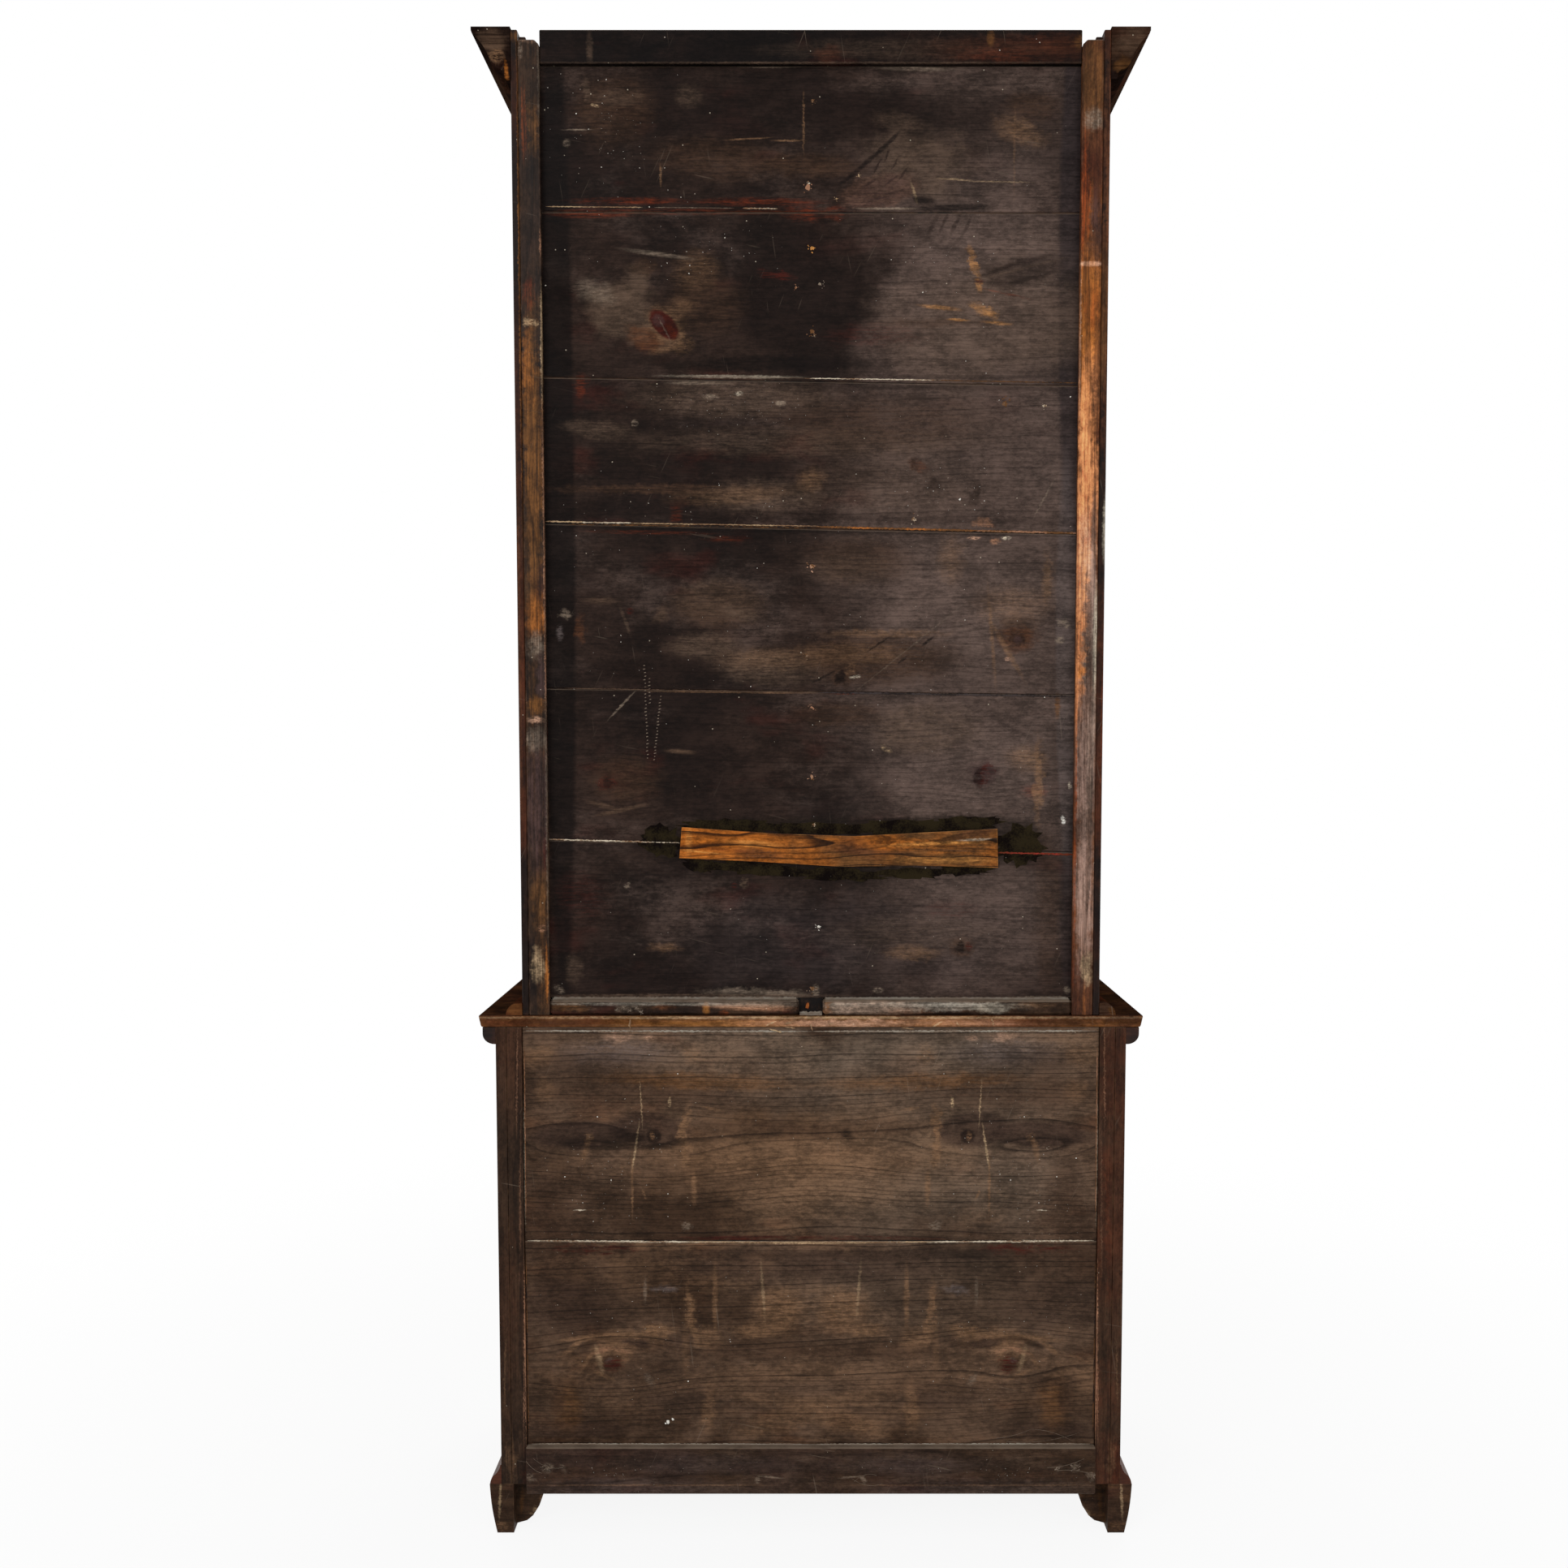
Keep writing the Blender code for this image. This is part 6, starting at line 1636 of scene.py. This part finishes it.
# Tufts of lint: column, row and reach in pixels
LINT = ((1325, 1808, 6), (1303, 1810, 3), (1345, 1820, 5), (673, 1808, 5))


def make_cobwebs():
    """Threads of cobweb and tufts of lint on the bottom rail and beside it."""
    draw = random.Random(RANDOM_START + 83)
    build = bmesh.new()
    for first, row_a, last, row_b, sag in WEB_LINES:
        points = []
        for step in range(13):
            share = step / 12
            row = row_a + share * (row_b - row_a) + 4 * sag * share * (1 - share)
            face = RAIL_FACE if row > RAIL_ROW else LOWER_FACE
            x, z = seen_at(first + share * (last - first), row, face)
            points.append(Vector((x, face + PROUD["web"], z)))
        add_thread(build, points, WEB_THREAD)
    for column, row, reach in LINT:
        for _ in range(8):
            place = seen_at(column + draw.uniform(-reach, reach), row + draw.uniform(-reach, reach) / 2,
                            RAIL_FACE)
            add_chip(build, draw, place, RAIL_FACE, draw.uniform(0.0008, 0.0022),
                     draw.uniform(0.0004, 0.0012), PROUD["lint"], draw.uniform(0, 3), corners=7,
                     ragged=0.5)
    new_piece("cobwebs", build, flake_material("cobweb", "smoke", "ash"))


# Splinters below and on the worktop's back edge: column, row of both ends, half width in pixels
SPLINTERS = (
    (777, 1257, 776, 1268, 0.8), (948, 1268, 963, 1272, 1.0), (967, 1265, 980, 1267, 0.9),
    (999, 1262, 1001, 1270, 0.8), (1021, 1262, 1026, 1261, 0.8), (1110, 1266, 1126, 1268, 0.8),
)


def make_splinters():
    """Pale splinters that stand off the worktop's back edge, and one that is stuck between the blocks."""
    draw = random.Random(RANDOM_START + 97)
    build = bmesh.new()
    for first, row_a, last, row_b, half in SPLINTERS:
        add_ribbon(build, draw, seen_at(first, row_a, BACK), seen_at(last, row_b, BACK), BACK,
                   half * PIXEL, PROUD["splinter"])
    new_piece("edge_splinters", build, flake_material("pale_splinter", "tan", "straw"))
    build = bmesh.new()
    add_chip(build, draw, seen_at(995, 1239, UPPER_FACE), UPPER_FACE, 2.6 * PIXEL, 4.6 * PIXEL,
             PROUD["chip"], 0.1, corners=9, ragged=0.2)
    new_piece("stuck_chip", build, flake_material("orange_chip", "ember", "amber"))


# The hinges: knuckles with a gap and a rounding, the leaf's thickness, and finials in shares of the radius
KNUCKLES = 5
KNUCKLE_GAP = 0.0004
KNUCKLE_ROUND = 0.0005
LEAF = 0.00055
FINIAL = 1.45
FINIAL_ROWS = ((0.55, 0.05), (0.55, 0.2), (0.85, 0.35), (0.95, 0.7), (0.8, 1.0), (0.45, 1.22), (0.1, 1.4))


def make_hinges(brass):
    """Butt hinges: three knuckles, finials and a leaf on the case, two knuckles and a leaf on the door."""
    for name in sorted(node for node in NODES if "hinge" in node):
        low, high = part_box(name)
        radius = (high.x - low.x) / 2
        x, y = (low.x + high.x) / 2, low.y + radius
        bottom, top = low.z + FINIAL * radius, high.z - FINIAL * radius
        length = (top - bottom) / KNUCKLES
        rounded = radius - KNUCKLE_ROUND
        case, door = bmesh.new(), bmesh.new()
        for number in range(KNUCKLES):
            start = bottom + number * length + KNUCKLE_GAP / 2
            end = bottom + (number + 1) * length - KNUCKLE_GAP / 2
            owner, way = (door, -1) if number % 2 else (case, 1)
            add_turned(owner, ((rounded, start), (radius, start + KNUCKLE_ROUND),
                               (radius, end - KNUCKLE_ROUND), (rounded, end)), x, y)
            inner = x + way * math.copysign(LEAF, x)
            add_block(owner, (min(x, inner), y + 0.6 * radius, start), (max(x, inner), high.y, end))
        for level, way in ((top, 1), (bottom, -1)):
            add_turned(case, [(radius * wide, level + way * radius * tall) for wide, tall in FINIAL_ROWS],
                       x, y)
        body = name.replace("_hinge", "").rsplit("_", 1)[0] + "_door"
        piece = new_piece(name + "_fixed", case, brass)
        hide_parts(name)
        for made in (piece, new_piece(name + "_swinging", door, brass, body)):
            made.data.shade_smooth()
            made.data.set_sharp_from_angle(angle=math.radians(35))


# Words in the names of the plain boards, whose arrises are rounded
PLAIN_BOARDS = ("stile", "side", "rail", "cleat", "worktop", "strip", "drawer_front", "shelf", "board")
ARRIS = 0.0009


def soften_edges():
    """Rounds the sharp arrises of the plain boards a little."""
    for name, node in NODES.items():
        if any(word in name for word in PLAIN_BOARDS) and "moulding" not in name:
            bevel = node.modifiers.new("soft_arris", "BEVEL")
            bevel.width = ARRIS
            bevel.segments = 2
            bevel.limit_method = "ANGLE"
            bevel.angle_limit = math.radians(50)


def plain_rays(tree):
    """One for rays from the camera and through gloss and glass, which see a plain white surround."""
    rays = put(tree, "ShaderNodeLightPath").outputs
    seen = calc(tree, "MAXIMUM", rays["Is Camera Ray"], rays["Is Glossy Ray"])
    return calc(tree, "MAXIMUM", seen, rays["Is Transmission Ray"])


FLOOR_REACH = 14.0


def make_floor():
    """A pale floor that keeps the shadow, seen nearly white."""
    mesh = bpy.data.meshes.new("floor")
    corners = [(x * FLOOR_REACH, y * FLOOR_REACH, 0.0) for x, y in ((-1, -1), (1, -1), (1, 1), (-1, 1))]
    mesh.from_pydata(corners, [], [(0, 1, 2, 3)])
    floor = bpy.data.objects.new("floor", mesh)
    bpy.context.scene.collection.objects.link(floor)
    material, tree, shader, point = new_material("floor_paper")
    cloud = noise(tree, point, 0.7)
    feed_all(tree, shader, Base_Color=blend(tree, cloud, colour(240, 240, 239), colour(246, 246, 245)),
             Roughness=0.9)
    light = put(tree, "ShaderNodeEmission", {"Color": (1.0, 1.0, 1.0, 1.0), "Strength": 1.0}).outputs[0]
    away = ramp(tree, vector_calc(tree, "LENGTH", point), 0.7, 2.4, 0.90, 1.0)
    mixed = put(tree, "ShaderNodeMixShader", {0: times(tree, plain_rays(tree), away),
                                              1: shader.outputs[0], 2: light}).outputs[0]
    feed_all(tree, tree.nodes["Material Output"], Surface=mixed)
    mesh.materials.append(material)


def make_world():
    """A white surround for the camera, and a plain soft light on the object."""
    world = bpy.data.worlds.new("studio")
    bpy.context.scene.world = world
    world.use_nodes = True
    tree = world.node_tree
    tree.nodes.clear()
    strength = calc(tree, "MULTIPLY_ADD", plain_rays(tree), 0.5, 0.5)
    light = put(tree, "ShaderNodeBackground", {"Color": (1.0, 1.0, 1.0, 1.0), "Strength": strength})
    put(tree, "ShaderNodeOutputWorld", {"Surface": light.outputs[0]})


# The lamps' places and powers, their side length, and where they point
LAMPS = {
    "back_key": ((2.4, 4.2, 3.0), 70.0),
    "back_fill": ((-2.8, 4.0, 1.8), 45.0),
    "front_key": ((-2.4, -4.2, 3.0), 60.0),
    "front_fill": ((2.8, -4.0, 1.8), 35.0),
}
LAMP_SIDE = 2.4
LAMP_TARGET = Vector((0.0, 0.0, 1.1))


def make_lamps():
    """Four large soft lamps: two behind the camera, and two for the front of the cupboard."""
    for name, (place, power) in LAMPS.items():
        light = bpy.data.lights.new(name, "AREA")
        light.shape = "SQUARE"
        light.size = LAMP_SIDE
        light.energy = power
        lamp = bpy.data.objects.new(name, light)
        bpy.context.scene.collection.objects.link(lamp)
        lamp.location = place
        lamp.rotation_euler = (LAMP_TARGET - Vector(place)).to_track_quat("-Z", "Y").to_euler()


def make_camera():
    """The photograph's view: behind the cupboard, looking slightly down."""
    data = bpy.data.cameras.new("camera")
    data.sensor_fit = "HORIZONTAL"
    data.sensor_width = SENSOR
    data.lens = FOCAL_PIXELS / IMAGE_SIDE * SENSOR
    data.shift_x = (IMAGE_SIDE / 2 - CENTRE_COLUMN) / IMAGE_SIDE
    data.shift_y = SHIFT_UP
    data.clip_end = 60.0
    camera = bpy.data.objects.new("camera", data)
    bpy.context.scene.collection.objects.link(camera)
    camera.location = (0.0, CAMERA_Y, CAMERA_HEIGHT)
    camera.rotation_euler = (math.radians(90.0) - CAMERA_PITCH, 0.0, math.radians(180.0))
    bpy.context.scene.camera = camera


dress_back_boards()
dress_stiles_and_posts()
dress_cases()
dress_front()
dress_fittings()
make_seam_fibres()
make_seam_dirt()
make_glue()
make_tick_trails()
make_nail_stars()
make_flecks()
make_ledge_dust()
make_cobwebs()
make_splinters()
soften_edges()
make_floor()
make_world()
make_lamps()
make_camera()
bpy.context.scene.view_settings.view_transform = "Standard"
